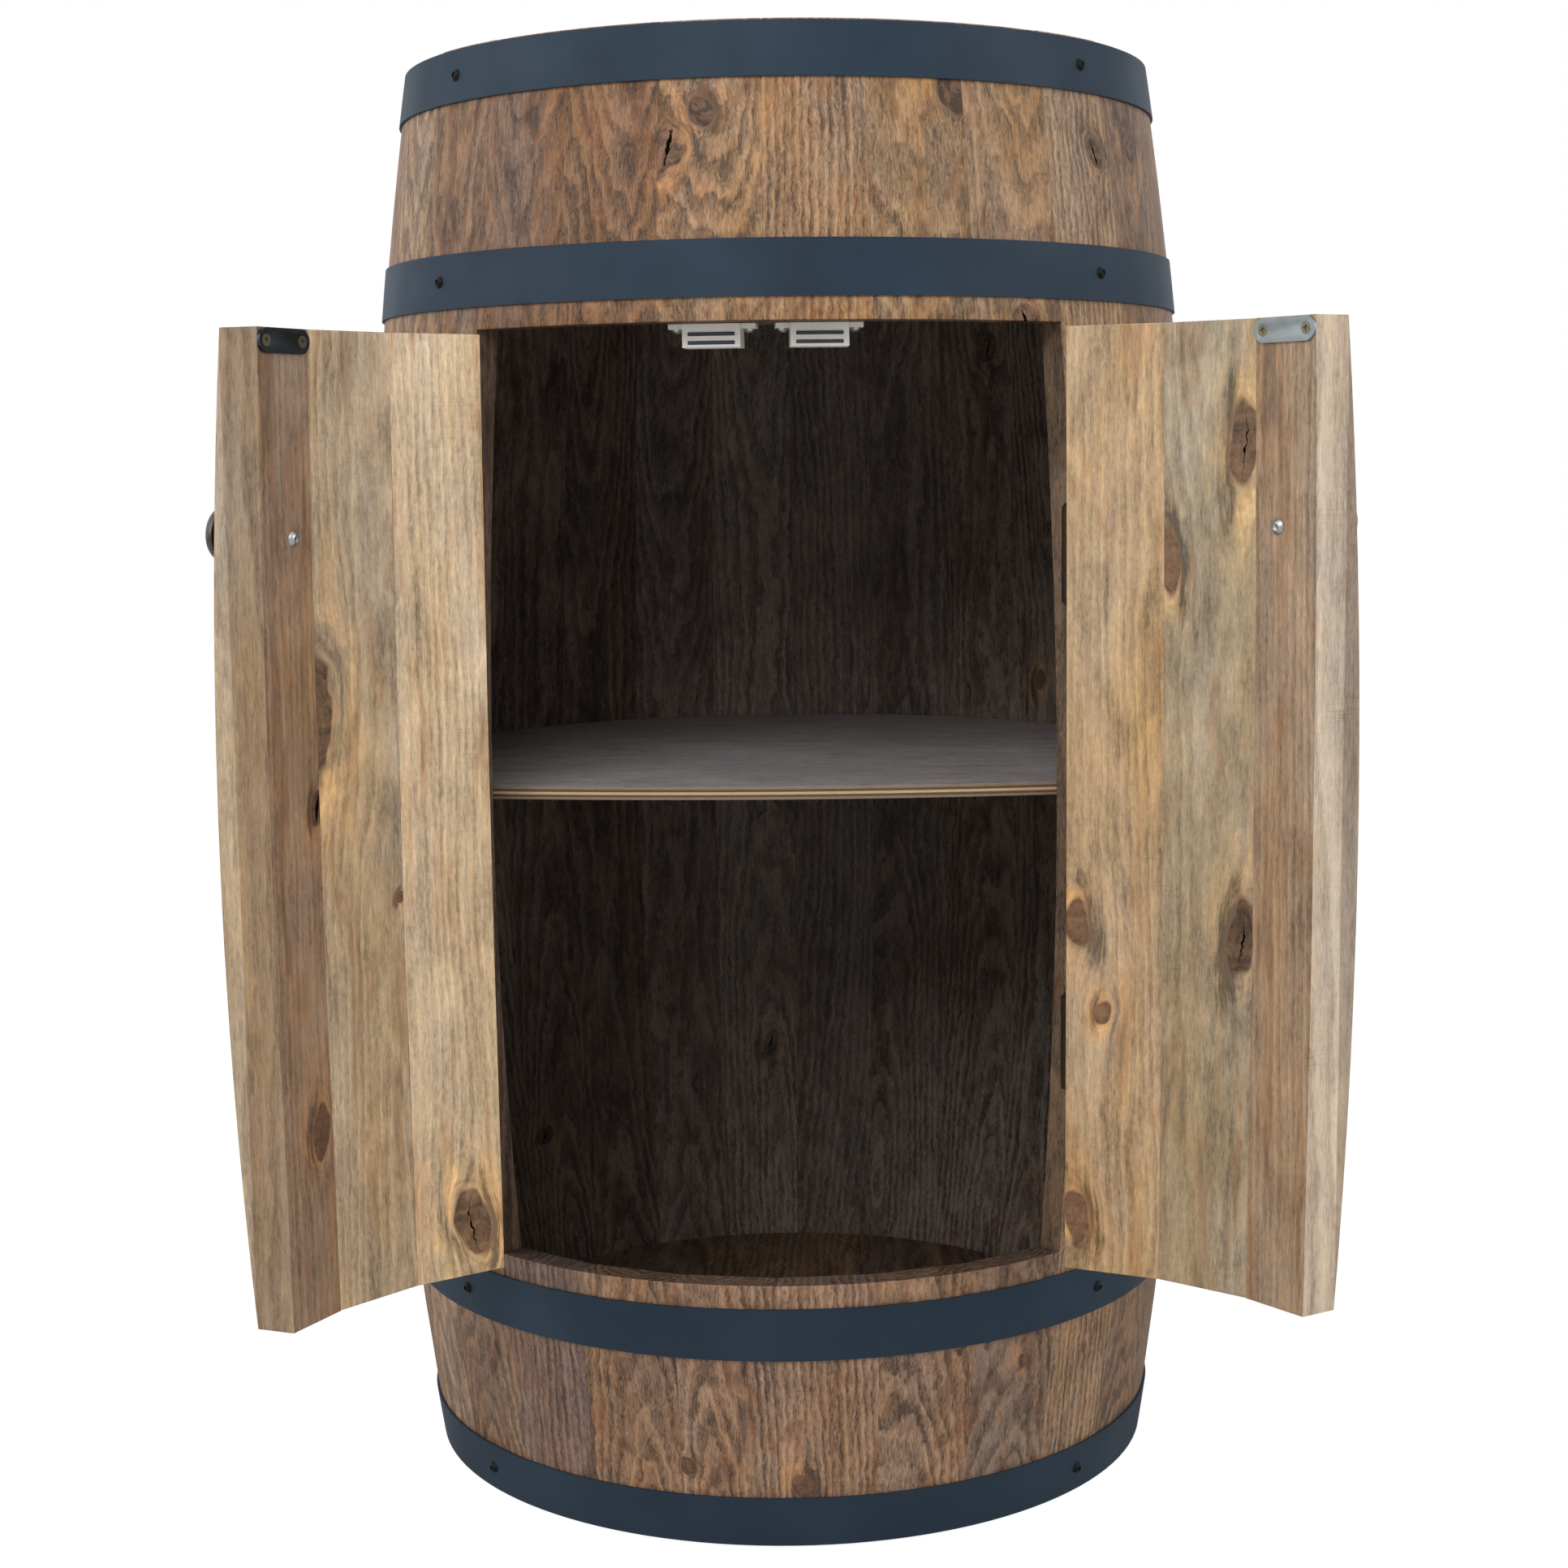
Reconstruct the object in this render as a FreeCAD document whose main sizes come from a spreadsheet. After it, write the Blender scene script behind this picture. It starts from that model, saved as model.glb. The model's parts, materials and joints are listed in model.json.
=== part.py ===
import FreeCAD, Part
import math
import os
import Sketcher
from FreeCAD import Placement, Rotation, Vector

# A wooden barrel on end that opens as a bar cabinet.
#
# Twenty-six staves stand in a ring and bow outwards to a belly at half height. Inside each
# stave is flat from edge to edge, and outside the whole barrel is turned round. Four steel
# hoops are screwed round it, and a boarded head sits in a groove, the croze, near each end.
# The six front staves stop at the lintel and at the sill, and the doorway between them is
# closed by two doors of three staves each. The doors are of thicker boards than the barrel:
# their insides are nearly straight in height, so they are thickest at the belly. The knuckles
# of their butt hinges stand in the gap between door and jamb, so the doors sit that much
# nearer the front, and where the two meet their free edges are planed off to make room.
#
# Millimetres, +Z up. The origin is on the floor, on the barrel's axis, and -Y is the front.
# An angle round the barrel is in degrees from the front, positive towards +X.
# The doors stand open, which is their rest pose. They are laid out closed and then swung.

SIZES = {
    # the barrel
    "barrel_height": 800,
    "end_diameter": 423,
    "belly_diameter": 484,
    "stave_count": 26,
    "stave_thickness": 16,
    "chime_bevel": 7,
    # the doorway and its two doors
    "door_staves": 3,
    "sill_height": 151,
    "lintel_height": 650,
    "door_gap": 4,
    "hinge_gap": 9,
    "meeting_gap": 4,
    "door_thickness": 29.5,
    "door_inside_radius": 11000,
    "left_opening": 111,
    "right_opening": 124.5,
    # the heads, sunk in the croze
    "head_thickness": 18,
    "head_recess": 14,
    "floor_height": 48,
    "croze_depth": 4.5,
    "croze_width": 8.4,
    "head_boards": 5,
    "croze_play": 0.2,
    # the hoops and their screws
    "hoop_thickness": 1.5,
    "hoop_play": 0.1,
    "end_hoop_width": 28,
    "end_hoop_inset": 1,
    "inner_hoop_width": 29,
    "inner_hoop_inset": 109,
    "hoop_screw_turn": 50,
    "hoop_screw_head": 6.5,
    "hoop_screw_rise": 2.4,
    "hoop_screw_length": 13,
    # the shelf and the cleats under it
    "shelf_top": 407.5,
    "shelf_thickness": 7,
    "shelf_radius": 225,
    "shelf_front": 158,
    "shelf_bow": 14,
    "cleat_length": 48,
    "cleat_thickness": 14,
    # the butt hinges
    "hinge_height": 50,
    "hinge_offset": 130,
    "pin_depth": 1.5,
    "leaf_width": 24,
    "leaf_thickness": 2,
    "leaf_set": 3.2,
    "knuckle_diameter": 7.5,
    "knuckle_play": 0.3,
    "pin_diameter": 4,
    "pin_play": 0.05,
    # wood screws with a countersunk head
    "wood_screw_diameter": 3,
    "wood_screw_head": 6,
    "wood_screw_length": 12,
    # the magnetic catches, the block they hang from and the strike plates
    "block_length": 100,
    "block_height": 20,
    "block_depth": 24,
    "catch_width": 30,
    "catch_height": 12,
    "catch_depth": 17,
    "catch_play": 0.6,
    "catch_offset": 4,
    "ear_span": 45,
    "ear_thickness": 2.5,
    "pole_thickness": 1.6,
    "pole_proud": 0.6,
    "strike_length": 38,
    "strike_width": 12,
    "strike_thickness": 1.5,
    # the knobs
    "knob_diameter": 30,
    "knob_length": 21,
    "knob_height": 547,
    "knob_offset": 5,
    "knob_screw_diameter": 4,
    "knob_screw_head": 8,
}

document = FreeCAD.newDocument("barrel_bar_cabinet")
sheet = document.addObject("Spreadsheet::Sheet", "Sizes")
for row, (alias, number) in enumerate(SIZES.items(), start=1):
    sheet.set(f"A{row}", str(number))
    sheet.setAlias(f"A{row}", alias)
document.recompute()


def size(alias):
    """A driving dimension, read back from the sheet."""
    return float(sheet.get(alias))


def worked_out(formula):
    """The value of a formula on the sheet's cells."""
    return float(sheet.evalExpression(formula))


# What the whole barrel is worked out from, as formulas on the sheet. A bow is the circle that
# a face follows in height: its radius, and how far out from the axis its centre is.
HALF_HEIGHT = "(Sizes.barrel_height / 2)"
BELLY = "(Sizes.belly_diameter / 2)"
BOW = "((Sizes.belly_diameter - Sizes.end_diameter) / 2)"
BOW_RADIUS = f"(({HALF_HEIGHT}^2 + {BOW}^2) / (2 * {BOW}))"
BOW_CENTRE = f"({BELLY} - {BOW_RADIUS})"
OUTSIDE = (BOW_RADIUS, BOW_CENTRE)
BARREL_INSIDE = (f"({BOW_RADIUS} - Sizes.stave_thickness)", BOW_CENTRE)
DOOR_INSIDE = ("Sizes.door_inside_radius",
               f"({BELLY} - Sizes.door_thickness - Sizes.door_inside_radius)")
HALF_TURN = "(180 / Sizes.stave_count)"
CLEAR_OF_BARREL = 60
DEEP_INSIDE = 90

STAVE_TURN = 360 / size("stave_count")
JAMB_TURN = STAVE_TURN * size("door_staves")
DOOR_SHIFT = math.degrees(size("hinge_gap") / worked_out(BELLY))
PLANED = "(Sizes.hinge_gap + Sizes.meeting_gap)"
SIDES = {"left": -1, "right": 1}


def reach(bow, height):
    """The formula of a bow's distance from the axis at a height."""
    radius, centre = bow
    return f"({centre} + sqrt({radius}^2 - ({height} - {HALF_HEIGHT})^2))"


# ---- sketches -------------------------------------------------------------------------------

def sketch_on(body, role, name, lift=None):
    """A new sketch on one of a body's own origin planes, raised by a formula if one is given."""
    sketch = body.newObject("Sketcher::SketchObject", name)
    plane = next(item for item in body.Origin.OriginFeatures if item.Role == role)
    sketch.AttachmentSupport = (plane, [""])
    sketch.MapMode = "FlatFace"
    if lift:
        sketch.setExpression("AttachmentOffset.Base.z", lift)
    return sketch


def bound(sketch, formula, kind, *place):
    """Add one dimension to a sketch and bind it to a formula on the sheet."""
    index = sketch.addConstraint(Sketcher.Constraint(kind, *place, worked_out(formula)))
    sketch.setExpression(f"Constraints[{index}]", formula)


def arc_through(start, end, radius, side):
    """An arc from start to end that bulges to the right (side 1) or left (side -1) of its way."""
    chord = end - start
    across = Vector(chord.y, -chord.x, 0).normalize() * side
    sagitta = radius - math.sqrt(radius ** 2 - (chord.Length / 2) ** 2)
    return Part.Arc(start, (start + end) / 2 + across * sagitta, end)


def outline(sketch, corners):
    """A closed outline through corners (x, y) given as formulas.

    A corner may add a radius formula and a side, and the edge that leaves it is then an arc.
    """
    points = [Vector(worked_out(corner[0]), worked_out(corner[1]), 0) for corner in corners]
    first = sketch.GeometryCount
    starts, ends = [], []
    for number, corner in enumerate(corners):
        start, end = points[number], points[(number + 1) % len(points)]
        edge = Part.LineSegment(start, end)
        if len(corner) > 2:
            edge = arc_through(start, end, worked_out(corner[2]), corner[3])
        index = sketch.addGeometry(edge, False)
        turned_round = (sketch.getPoint(index, 1) - start).Length > 1e-6
        starts.append((index, 2 if turned_round else 1))
        ends.append((index, 1 if turned_round else 2))
    for number, corner in enumerate(corners):
        following = (number + 1) % len(corners)
        sketch.addConstraint(Sketcher.Constraint("Coincident", *ends[number], *starts[following]))
        bound(sketch, corner[0], "DistanceX", *starts[number])
        bound(sketch, corner[1], "DistanceY", *starts[number])
        if len(corner) > 2:
            bound(sketch, corner[2], "Radius", first + number)


def bow_side(sketch, bow, low, high):
    """One edge that follows a bow from one height to another."""
    radius, centre = bow
    middle = Vector(worked_out(centre), worked_out(HALF_HEIGHT), 0)
    length = worked_out(radius)
    start = math.asin((worked_out(low) - middle.y) / length)
    end = math.asin((worked_out(high) - middle.y) / length)
    circle = Part.Circle(middle, Vector(0, 0, 1), length)
    edge = sketch.addGeometry(Part.ArcOfCircle(circle, start, end), False)
    bound(sketch, centre, "DistanceX", edge, 3)
    bound(sketch, HALF_HEIGHT, "DistanceY", edge, 3)
    bound(sketch, radius, "Radius", edge)
    return edge


def straight_side(sketch, distance, low, high):
    """One upright edge at a distance from the axis."""
    across = worked_out(distance)
    start, end = Vector(across, worked_out(low), 0), Vector(across, worked_out(high), 0)
    edge = sketch.addGeometry(Part.LineSegment(start, end), False)
    sketch.addConstraint(Sketcher.Constraint("Vertical", edge))
    bound(sketch, distance, "DistanceX", edge, 1)
    return edge


def close_between(sketch, first, second, low, high):
    """Join two upright edges with level ones at the heights low and high."""
    for end, height in ((1, low), (2, high)):
        near, far = sketch.getPoint(first, end), sketch.getPoint(second, end)
        level = sketch.addGeometry(Part.LineSegment(near, far), False)
        sketch.addConstraint(Sketcher.Constraint("Coincident", first, end, level, 1))
        sketch.addConstraint(Sketcher.Constraint("Coincident", level, 2, second, end))
        sketch.addConstraint(Sketcher.Constraint("Horizontal", level))
        bound(sketch, height, "DistanceY", level, 1)


# ---- features -------------------------------------------------------------------------------

def new_body(name):
    return document.addObject("PartDesign::Body", name)


def pad(body, sketch, length):
    feature = body.newObject("PartDesign::Pad", f"{body.Name}_pad")
    feature.Profile = sketch
    feature.setExpression("Length", length)
    return feature


def pocket_both_ways(body, sketch, length):
    feature = body.newObject("PartDesign::Pocket", f"{body.Name}_pocket")
    feature.Profile = sketch
    feature.Midplane = True
    feature.setExpression("Length", length)
    return feature


def turn(body, sketch, kind):
    """Turn a sketch about the body's upright axis, as a Revolution or as a Groove."""
    feature = body.newObject(f"PartDesign::{kind}", f"{body.Name}_{kind.lower()}")
    feature.Profile = sketch
    feature.ReferenceAxis = (sketch, ["V_Axis"])
    feature.Angle = 360
    return feature


def turned(name, corners):
    """A piece turned on a lathe: an outline of (radius, height) about the upright axis."""
    body = new_body(name)
    sketch = sketch_on(body, "XZ_Plane", f"{name}_profile")
    outline(sketch, corners)
    turn(body, sketch, "Revolution")
    return body


def primitive(kind, name, placement=Placement(), **lengths):
    """A Part primitive whose lengths are formulas on the sheet."""
    item = document.addObject(f"Part::{kind}", name)
    for quantity, formula in lengths.items():
        item.setExpression(quantity, formula)
    item.Placement = placement
    return item


def joined(name, pieces):
    item = document.addObject("Part::MultiFuse", name)
    item.Shapes = pieces
    item.Refine = True
    return item


def grouped(name, pieces):
    item = document.addObject("Part::Compound", name)
    item.Links = pieces
    return item


def cut_by(name, base, tools):
    """The base with all the tools cut out of it."""
    item = document.addObject("Part::Cut", name)
    item.Base = base
    item.Tool = grouped(f"{name}_tools", tools)
    return item


def placed(name, original, placement):
    """Another one of the original, at its own place."""
    item = document.addObject("App::Link", name)
    item.LinkedObject = original
    item.Placement = placement
    return item


def shifted(x=0.0, y=0.0, z=0.0):
    return Placement(Vector(x, y, z), Rotation())


def rotated(axis, degrees):
    return Placement(Vector(), Rotation(Vector(*axis), degrees))


X_AXIS, Y_AXIS, Z_AXIS = (1, 0, 0), (0, 1, 0), (0, 0, 1)


# ---- places ---------------------------------------------------------------------------------

def facing(turn_angle):
    """The frame of a stave: X points out of the barrel, Y on round it, Z up."""
    return rotated(Z_AXIS, turn_angle - 90)


def on_bow(bow, turn_angle, height, above=0.0):
    """A frame on a bowed face, or above it: Z points out of the barrel, square to the bow."""
    lean = math.degrees(math.asin((height - worked_out(HALF_HEIGHT)) / worked_out(bow[0])))
    point = shifted(worked_out(reach(bow, height)), 0, height)
    return facing(turn_angle) * point * rotated(Y_AXIS, 90 - lean) * shifted(z=above)


PIN_REACH = worked_out(f"{BELLY} - Sizes.pin_depth")


def pin_frame(side):
    """The frame of a door's hinge pins: X points out of the barrel, Y away from the front."""
    toward_door = -SIDES[side] * size("hinge_gap") / 2
    return facing(SIDES[side] * JAMB_TURN) * shifted(PIN_REACH, toward_door)


def swing(side):
    """What moves a closed door to its rest pose, open."""
    angle = SIDES[side] * size(f"{side}_opening")
    pin = pin_frame(side).Base
    return Placement(Vector(), Rotation(Vector(*Z_AXIS), angle), pin)


# ---- what the sub-parts are made of ---------------------------------------------------------

nodes = {}
blanks = {}
cutters = {}


def keep(label, item):
    """Make an item a sub-part under its own label."""
    item.Label = label
    nodes[label] = item


def cut_later(blank, tool):
    """Note a tool that a blank is to be cut by once all its tools are known."""
    cutters.setdefault(blank, []).append(tool)


# ---- staves ---------------------------------------------------------------------------------

def wedge_corner(distance, side, gap):
    """A corner of a stave's wedge: on its mitred edge, moved in by a gap."""
    across = f"({distance} * tan({HALF_TURN}) - {gap} / cos({HALF_TURN}))"
    return distance, across if side > 0 else f"(-{across})"


def stave(name, inside_bow, low, high, gap_before="0", gap_after="0", ends=()):
    """One stave, standing on X: sawn to a wedge, hollowed flat inside and turned round outside.

    gap_before and gap_after are what its two edges are planed off by. ends names the barrel
    ends that it reaches, "bottom" or "top", where it gets the croze and the bevelled chime.
    """
    body = new_body(name)
    near = f"({BELLY} - {DEEP_INSIDE})"
    far = f"({BELLY} + {CLEAR_OF_BARREL / 3})"
    plan = sketch_on(body, "XY_Plane", f"{name}_plan", low)
    outline(plan, [wedge_corner(near, -1, gap_before), wedge_corner(far, -1, gap_before),
                   wedge_corner(far, 1, gap_after), wedge_corner(near, 1, gap_after)])
    pad(body, plan, f"{high} - {low}")

    inside = sketch_on(body, "XZ_Plane", f"{name}_inside")
    hollow = bow_side(inside, inside_bow, "0", "Sizes.barrel_height")
    back = straight_side(inside, f"({BELLY} - {DEEP_INSIDE + 5})", "0", "Sizes.barrel_height")
    close_between(inside, hollow, back, "0", "Sizes.barrel_height")
    pocket_both_ways(body, inside, f"{BELLY}")

    outside = sketch_on(body, "XZ_Plane", f"{name}_outside")
    skin = bow_side(outside, OUTSIDE, "0", "Sizes.barrel_height")
    clear = straight_side(outside, f"({BELLY} + {CLEAR_OF_BARREL})", "0", "Sizes.barrel_height")
    close_between(outside, skin, clear, "0", "Sizes.barrel_height")
    turn(body, outside, "Groove")

    for end in ends:
        croze = sketch_on(body, "XZ_Plane", f"{name}_{end}_croze")
        outline(croze, croze_corners(end))
        turn(body, croze, "Groove")
        chime = sketch_on(body, "XZ_Plane", f"{name}_{end}_chime")
        outline(chime, chime_corners(end))
        turn(body, chime, "Groove")
    return body


# ---- heads and croze ------------------------------------------------------------------------

HEAD_MIDDLE = {
    "bottom": "(Sizes.floor_height - Sizes.head_thickness / 2)",
    "top": "(Sizes.barrel_height - Sizes.head_recess - Sizes.head_thickness / 2)",
}
HEAD_SHOULDER = 3


def croze_corners(end):
    """The groove for a head: open to the inside, with sloped cheeks and a flat bottom."""
    middle = HEAD_MIDDLE[end]
    mouth = f"({reach(BARREL_INSIDE, middle)} - {HEAD_SHOULDER})"
    bottom = f"({reach(BARREL_INSIDE, middle)} + Sizes.croze_depth)"
    wide = "(Sizes.head_thickness / 2 + Sizes.croze_play)"
    narrow = "(Sizes.croze_width / 2)"
    inside = f"({BELLY} - {DEEP_INSIDE})"
    return [(inside, f"{middle} - {wide}"), (mouth, f"{middle} - {wide}"),
            (bottom, f"{middle} - {narrow}"), (bottom, f"{middle} + {narrow}"),
            (mouth, f"{middle} + {wide}"), (inside, f"{middle} + {wide}")]


def chime_corners(end):
    """The bevel on a stave end's inner arris."""
    edge, way = ("0", 1) if end == "bottom" else ("Sizes.barrel_height", -1)
    inner = reach(BARREL_INSIDE, edge)
    level = f"({edge} + {way} * 1.3 * Sizes.chime_bevel)"
    return [(f"({inner} - 2)", f"({edge} - {way})"), (f"({inner} - 2)", level),
            (inner, level), (f"({inner} + Sizes.chime_bevel)", edge),
            (f"({inner} + Sizes.chime_bevel)", f"({edge} - {way})")]


def head(end):
    """A boarded head: a disc with a bevelled rim, sawn from edge-glued boards."""
    middle = HEAD_MIDDLE[end]
    shoulder = f"({reach(BARREL_INSIDE, middle)} - {HEAD_SHOULDER})"
    rim = f"({reach(BARREL_INSIDE, middle)} + Sizes.croze_depth - 2 * Sizes.croze_play)"
    half, tongue = "(Sizes.head_thickness / 2)", "(Sizes.croze_width / 2 - Sizes.croze_play)"
    disc = turned(f"{end}_head_disc", [
        ("0", f"{middle} - {half}"), (shoulder, f"{middle} - {half}"),
        (rim, f"{middle} - {tongue}"), (rim, f"{middle} + {tongue}"),
        (shoulder, f"{middle} + {half}"), ("0", f"{middle} + {half}")])
    count = int(size("head_boards"))
    width = f"(Sizes.end_diameter / {count})"
    boards = []
    for number in range(count):
        strip = primitive("Box", f"{end}_head_strip_{number + 1}", Length=width,
                          Width="Sizes.end_diameter", Height="Sizes.head_thickness")
        strip.setExpression("Placement.Base.x", f"-Sizes.end_diameter / 2 + {number} * {width}")
        strip.setExpression("Placement.Base.y", "-Sizes.end_diameter / 2")
        strip.setExpression("Placement.Base.z", f"{middle} - {half}")
        board = document.addObject("Part::Common", f"{end}_head_board_{number + 1}")
        board.Base = disc
        board.Tool = strip
        boards.append(board)
    keep(f"{end}_head_boards", grouped(f"{end}_head", boards))


# ---- hoops ----------------------------------------------------------------------------------

def hoop(name, low, high):
    """A steel band that follows the bow of the staves just outside them."""
    body = new_body(name)
    section = sketch_on(body, "XZ_Plane", f"{name}_section")
    inner_radius = f"({BOW_RADIUS} + Sizes.hoop_play)"
    inner = bow_side(section, (inner_radius, BOW_CENTRE), low, high)
    outer = bow_side(section, (f"({inner_radius} + Sizes.hoop_thickness)", BOW_CENTRE), low, high)
    close_between(section, inner, outer, low, high)
    turn(body, section, "Revolution")
    return body


HOOPS = {
    "bottom_hoop": ("Sizes.end_hoop_inset", "Sizes.end_hoop_inset + Sizes.end_hoop_width"),
    "lower_hoop": ("Sizes.inner_hoop_inset", "Sizes.inner_hoop_inset + Sizes.inner_hoop_width"),
    "upper_hoop": (
        "Sizes.barrel_height - Sizes.inner_hoop_inset - Sizes.inner_hoop_width",
        "Sizes.barrel_height - Sizes.inner_hoop_inset"),
    "top_hoop": (
        "Sizes.barrel_height - Sizes.end_hoop_inset - Sizes.end_hoop_width",
        "Sizes.barrel_height - Sizes.end_hoop_inset"),
}


# ---- screws ---------------------------------------------------------------------------------
# Every screw stands on Z: its seat is at height 0, its head is above and its shank below.

def button_screw(name, head_diameter, rise, shank_diameter, length):
    """A screw with a domed head and a hexagon socket."""
    dome = f"(({head_diameter} / 2)^2 + {rise}^2) / (2 * {rise})"
    body = turned(name, [
        ("0", f"-{length}"), (f"{shank_diameter} / 2", f"-{length} + {shank_diameter}"),
        (f"{shank_diameter} / 2", "0"), (f"{head_diameter} / 2", "0", dome, 1), ("0", rise)])
    socket = sketch_on(body, "XY_Plane", f"{name}_socket", rise)
    across = f"({shank_diameter} / 2)"
    outline(socket, [(f"{across} * cos({60 * side})", f"{across} * sin({60 * side})")
                     for side in range(6)])
    recess = body.newObject("PartDesign::Pocket", f"{name}_recess")
    recess.Profile = socket
    recess.setExpression("Length", f"{rise} / 2")
    return body


def countersunk_screw(name):
    """A wood screw whose head is flush with its seat, with a cross recess."""
    shank, across = "Sizes.wood_screw_diameter", "Sizes.wood_screw_head"
    depth = f"(({across} - {shank}) / 2)"
    body = turned(name, [
        ("0", "-Sizes.wood_screw_length"), (f"{shank} / 2", f"-Sizes.wood_screw_length + {shank}"),
        (f"{shank} / 2", f"-{depth}"), (f"{across} / 2", "0"), ("0", "0")])
    tools = []
    for number, quarter in enumerate((0, 90)):
        wing = primitive("Box", f"{name}_wing_{number}", Length=f"{across} / 2",
                         Width=f"{across} / 8", Height=depth)
        half_length, half_width = size("wood_screw_head") / 4, size("wood_screw_head") / 16
        wing.Placement = rotated(Z_AXIS, quarter) * shifted(-half_length, -half_width, -1)
        tools.append(wing)
    return cut_by(f"{name}_crossed", body, [joined(f"{name}_cross", tools)])


def pilot(name, diameter, length, placement):
    """The hole for a screw's shank, as a tool to cut with."""
    bore = primitive("Cylinder", name, Radius=f"{diameter} / 2 + Sizes.pin_play",
                     Height=f"{length} + 1")
    bore.Placement = placement * shifted(z=-worked_out(length) - 0.5)
    return bore


# ---- build the screws, which the other pieces are drilled for ---------------------------------

hoop_screw = button_screw("hoop_screw", "Sizes.hoop_screw_head", "Sizes.hoop_screw_rise",
                          "Sizes.wood_screw_diameter", "Sizes.hoop_screw_length")

# A knob's screw goes through the door. Its head has a little room, as the door's two faces
# aren't quite parallel.
KNOB_SCREW_BITE = 11
KNOB_SCREW_ROOM = 0.25
KNOB_GRIP = (f"({reach(OUTSIDE, 'Sizes.knob_height')} - {reach(DOOR_INSIDE, 'Sizes.knob_height')}"
             f" + {KNOB_SCREW_ROOM})")
KNOB_SCREW_LENGTH = f"({KNOB_GRIP} + {KNOB_SCREW_BITE})"
knob_screw = button_screw("knob_screw", "Sizes.knob_screw_head", "Sizes.hoop_screw_rise",
                          "Sizes.knob_screw_diameter", KNOB_SCREW_LENGTH)
wood_screw = countersunk_screw("wood_screw")
body_screws = []
door_screws = {"left": [], "right": []}


# ---- build the staves -------------------------------------------------------------------------

stave_count = int(size("stave_count"))
door_staves = int(size("door_staves"))
stave_names = {}

for number in range(door_staves, stave_count - door_staves):
    label = f"stave_{number - door_staves + 1:02d}"
    blank = stave(f"{label}_blank", BARREL_INSIDE, "0", "Sizes.barrel_height",
                  ends=("bottom", "top"))
    blank.Placement = facing((number + 0.5) * STAVE_TURN)
    blanks[label] = blank
    stave_names[number] = label

for number in range(-door_staves, door_staves):
    place = facing((number + 0.5) * STAVE_TURN)
    label = f"lintel_stave_{number + door_staves + 1}"
    blanks[label] = stave(f"{label}_blank", BARREL_INSIDE, "Sizes.lintel_height",
                          "Sizes.barrel_height", ends=("top",))
    blanks[label].Placement = place
    label = f"sill_stave_{number + door_staves + 1}"
    blanks[label] = stave(f"{label}_blank", BARREL_INSIDE, "0", "Sizes.sill_height",
                          ends=("bottom",))
    blanks[label].Placement = place

for side, sign in SIDES.items():
    for number in range(door_staves):
        label = f"{side}_door_stave_{number + 1}"
        planed = PLANED if number == 0 else "0"
        gaps = (planed, "0") if sign > 0 else ("0", planed)
        blanks[label] = stave(f"{label}_blank", DOOR_INSIDE,
                              "(Sizes.sill_height + Sizes.door_gap)",
                              "(Sizes.lintel_height - Sizes.door_gap)", *gaps)
        closed = facing(sign * ((number + 0.5) * STAVE_TURN - DOOR_SHIFT))
        blanks[label].Placement = swing(side) * closed


def stave_at(turn_angle):
    """The label of the full-length stave at an angle round the barrel."""
    return stave_names[math.floor((turn_angle % 360) / STAVE_TURN)]


# ---- build the heads and hoops ------------------------------------------------------------------

for end in HEAD_MIDDLE:
    head(end)

for label, (low, high) in HOOPS.items():
    blanks[label] = hoop(f"{label}_blank", low, high)
    middle = worked_out(f"({low} + {high}) / 2")
    screw_turn = size("hoop_screw_turn")
    for number, angle in enumerate((screw_turn, 180 - screw_turn, 180 + screw_turn, -screw_turn)):
        seat = on_bow(OUTSIDE, angle, middle, size("hoop_play") + size("hoop_thickness"))
        name = f"{label}_screw_{number + 1}"
        body_screws.append(placed(name, hoop_screw, seat))
        for target in (label, stave_at(angle)):
            hole = pilot(f"{name}_hole_{target}", "Sizes.wood_screw_diameter",
                         "Sizes.hoop_screw_length", seat)
            cut_later(target, hole)


# ---- shelf and cleats -----------------------------------------------------------------------

def shelf():
    """A plywood disc cut off at the doorway with a slightly bowed front edge.

    Its round edge is two arcs, because one would be more than half a circle.
    """
    body = new_body("shelf_board")
    plan = sketch_on(body, "XY_Plane", "shelf_plan", "Sizes.shelf_top - Sizes.shelf_thickness")
    half_front = "sqrt(Sizes.shelf_radius^2 - Sizes.shelf_front^2)"
    front_bow = (f"(({half_front})^2 + Sizes.shelf_bow^2) / (2 * Sizes.shelf_bow)")
    outline(plan, [
        (f"-{half_front}", "-Sizes.shelf_front", front_bow, 1),
        (half_front, "-Sizes.shelf_front", "Sizes.shelf_radius", 1),
        ("0", "Sizes.shelf_radius", "Sizes.shelf_radius", 1)])
    pad(body, plan, "Sizes.shelf_thickness")
    return body


keep("shelf", shelf())

CLEAT_STAVES = (4.5, 9.5, 16.5, 21.5)
CLEAT_UNDER = worked_out("Sizes.shelf_top - Sizes.shelf_thickness - Sizes.cleat_thickness")
cleat_back = worked_out(reach(BARREL_INSIDE, CLEAT_UNDER)) - size("cleat_thickness")
cleats = []
for number, place in enumerate(CLEAT_STAVES):
    cleat = primitive("Box", f"cleat_{number + 1}", Length="Sizes.cleat_thickness",
                      Width="Sizes.cleat_length", Height="Sizes.cleat_thickness")
    corner = shifted(cleat_back, -size("cleat_length") / 2, CLEAT_UNDER)
    cleat.Placement = facing(place * STAVE_TURN) * corner
    cleats.append(cleat)
keep("shelf_cleats", grouped("cleats", cleats))


# ---- hinges ---------------------------------------------------------------------------------
# A leaf lies along X from its pin, which stands on Z, and Y points out of the barrel. It is
# let into the outer face of the staves, leaf_set below the pin.

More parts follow.
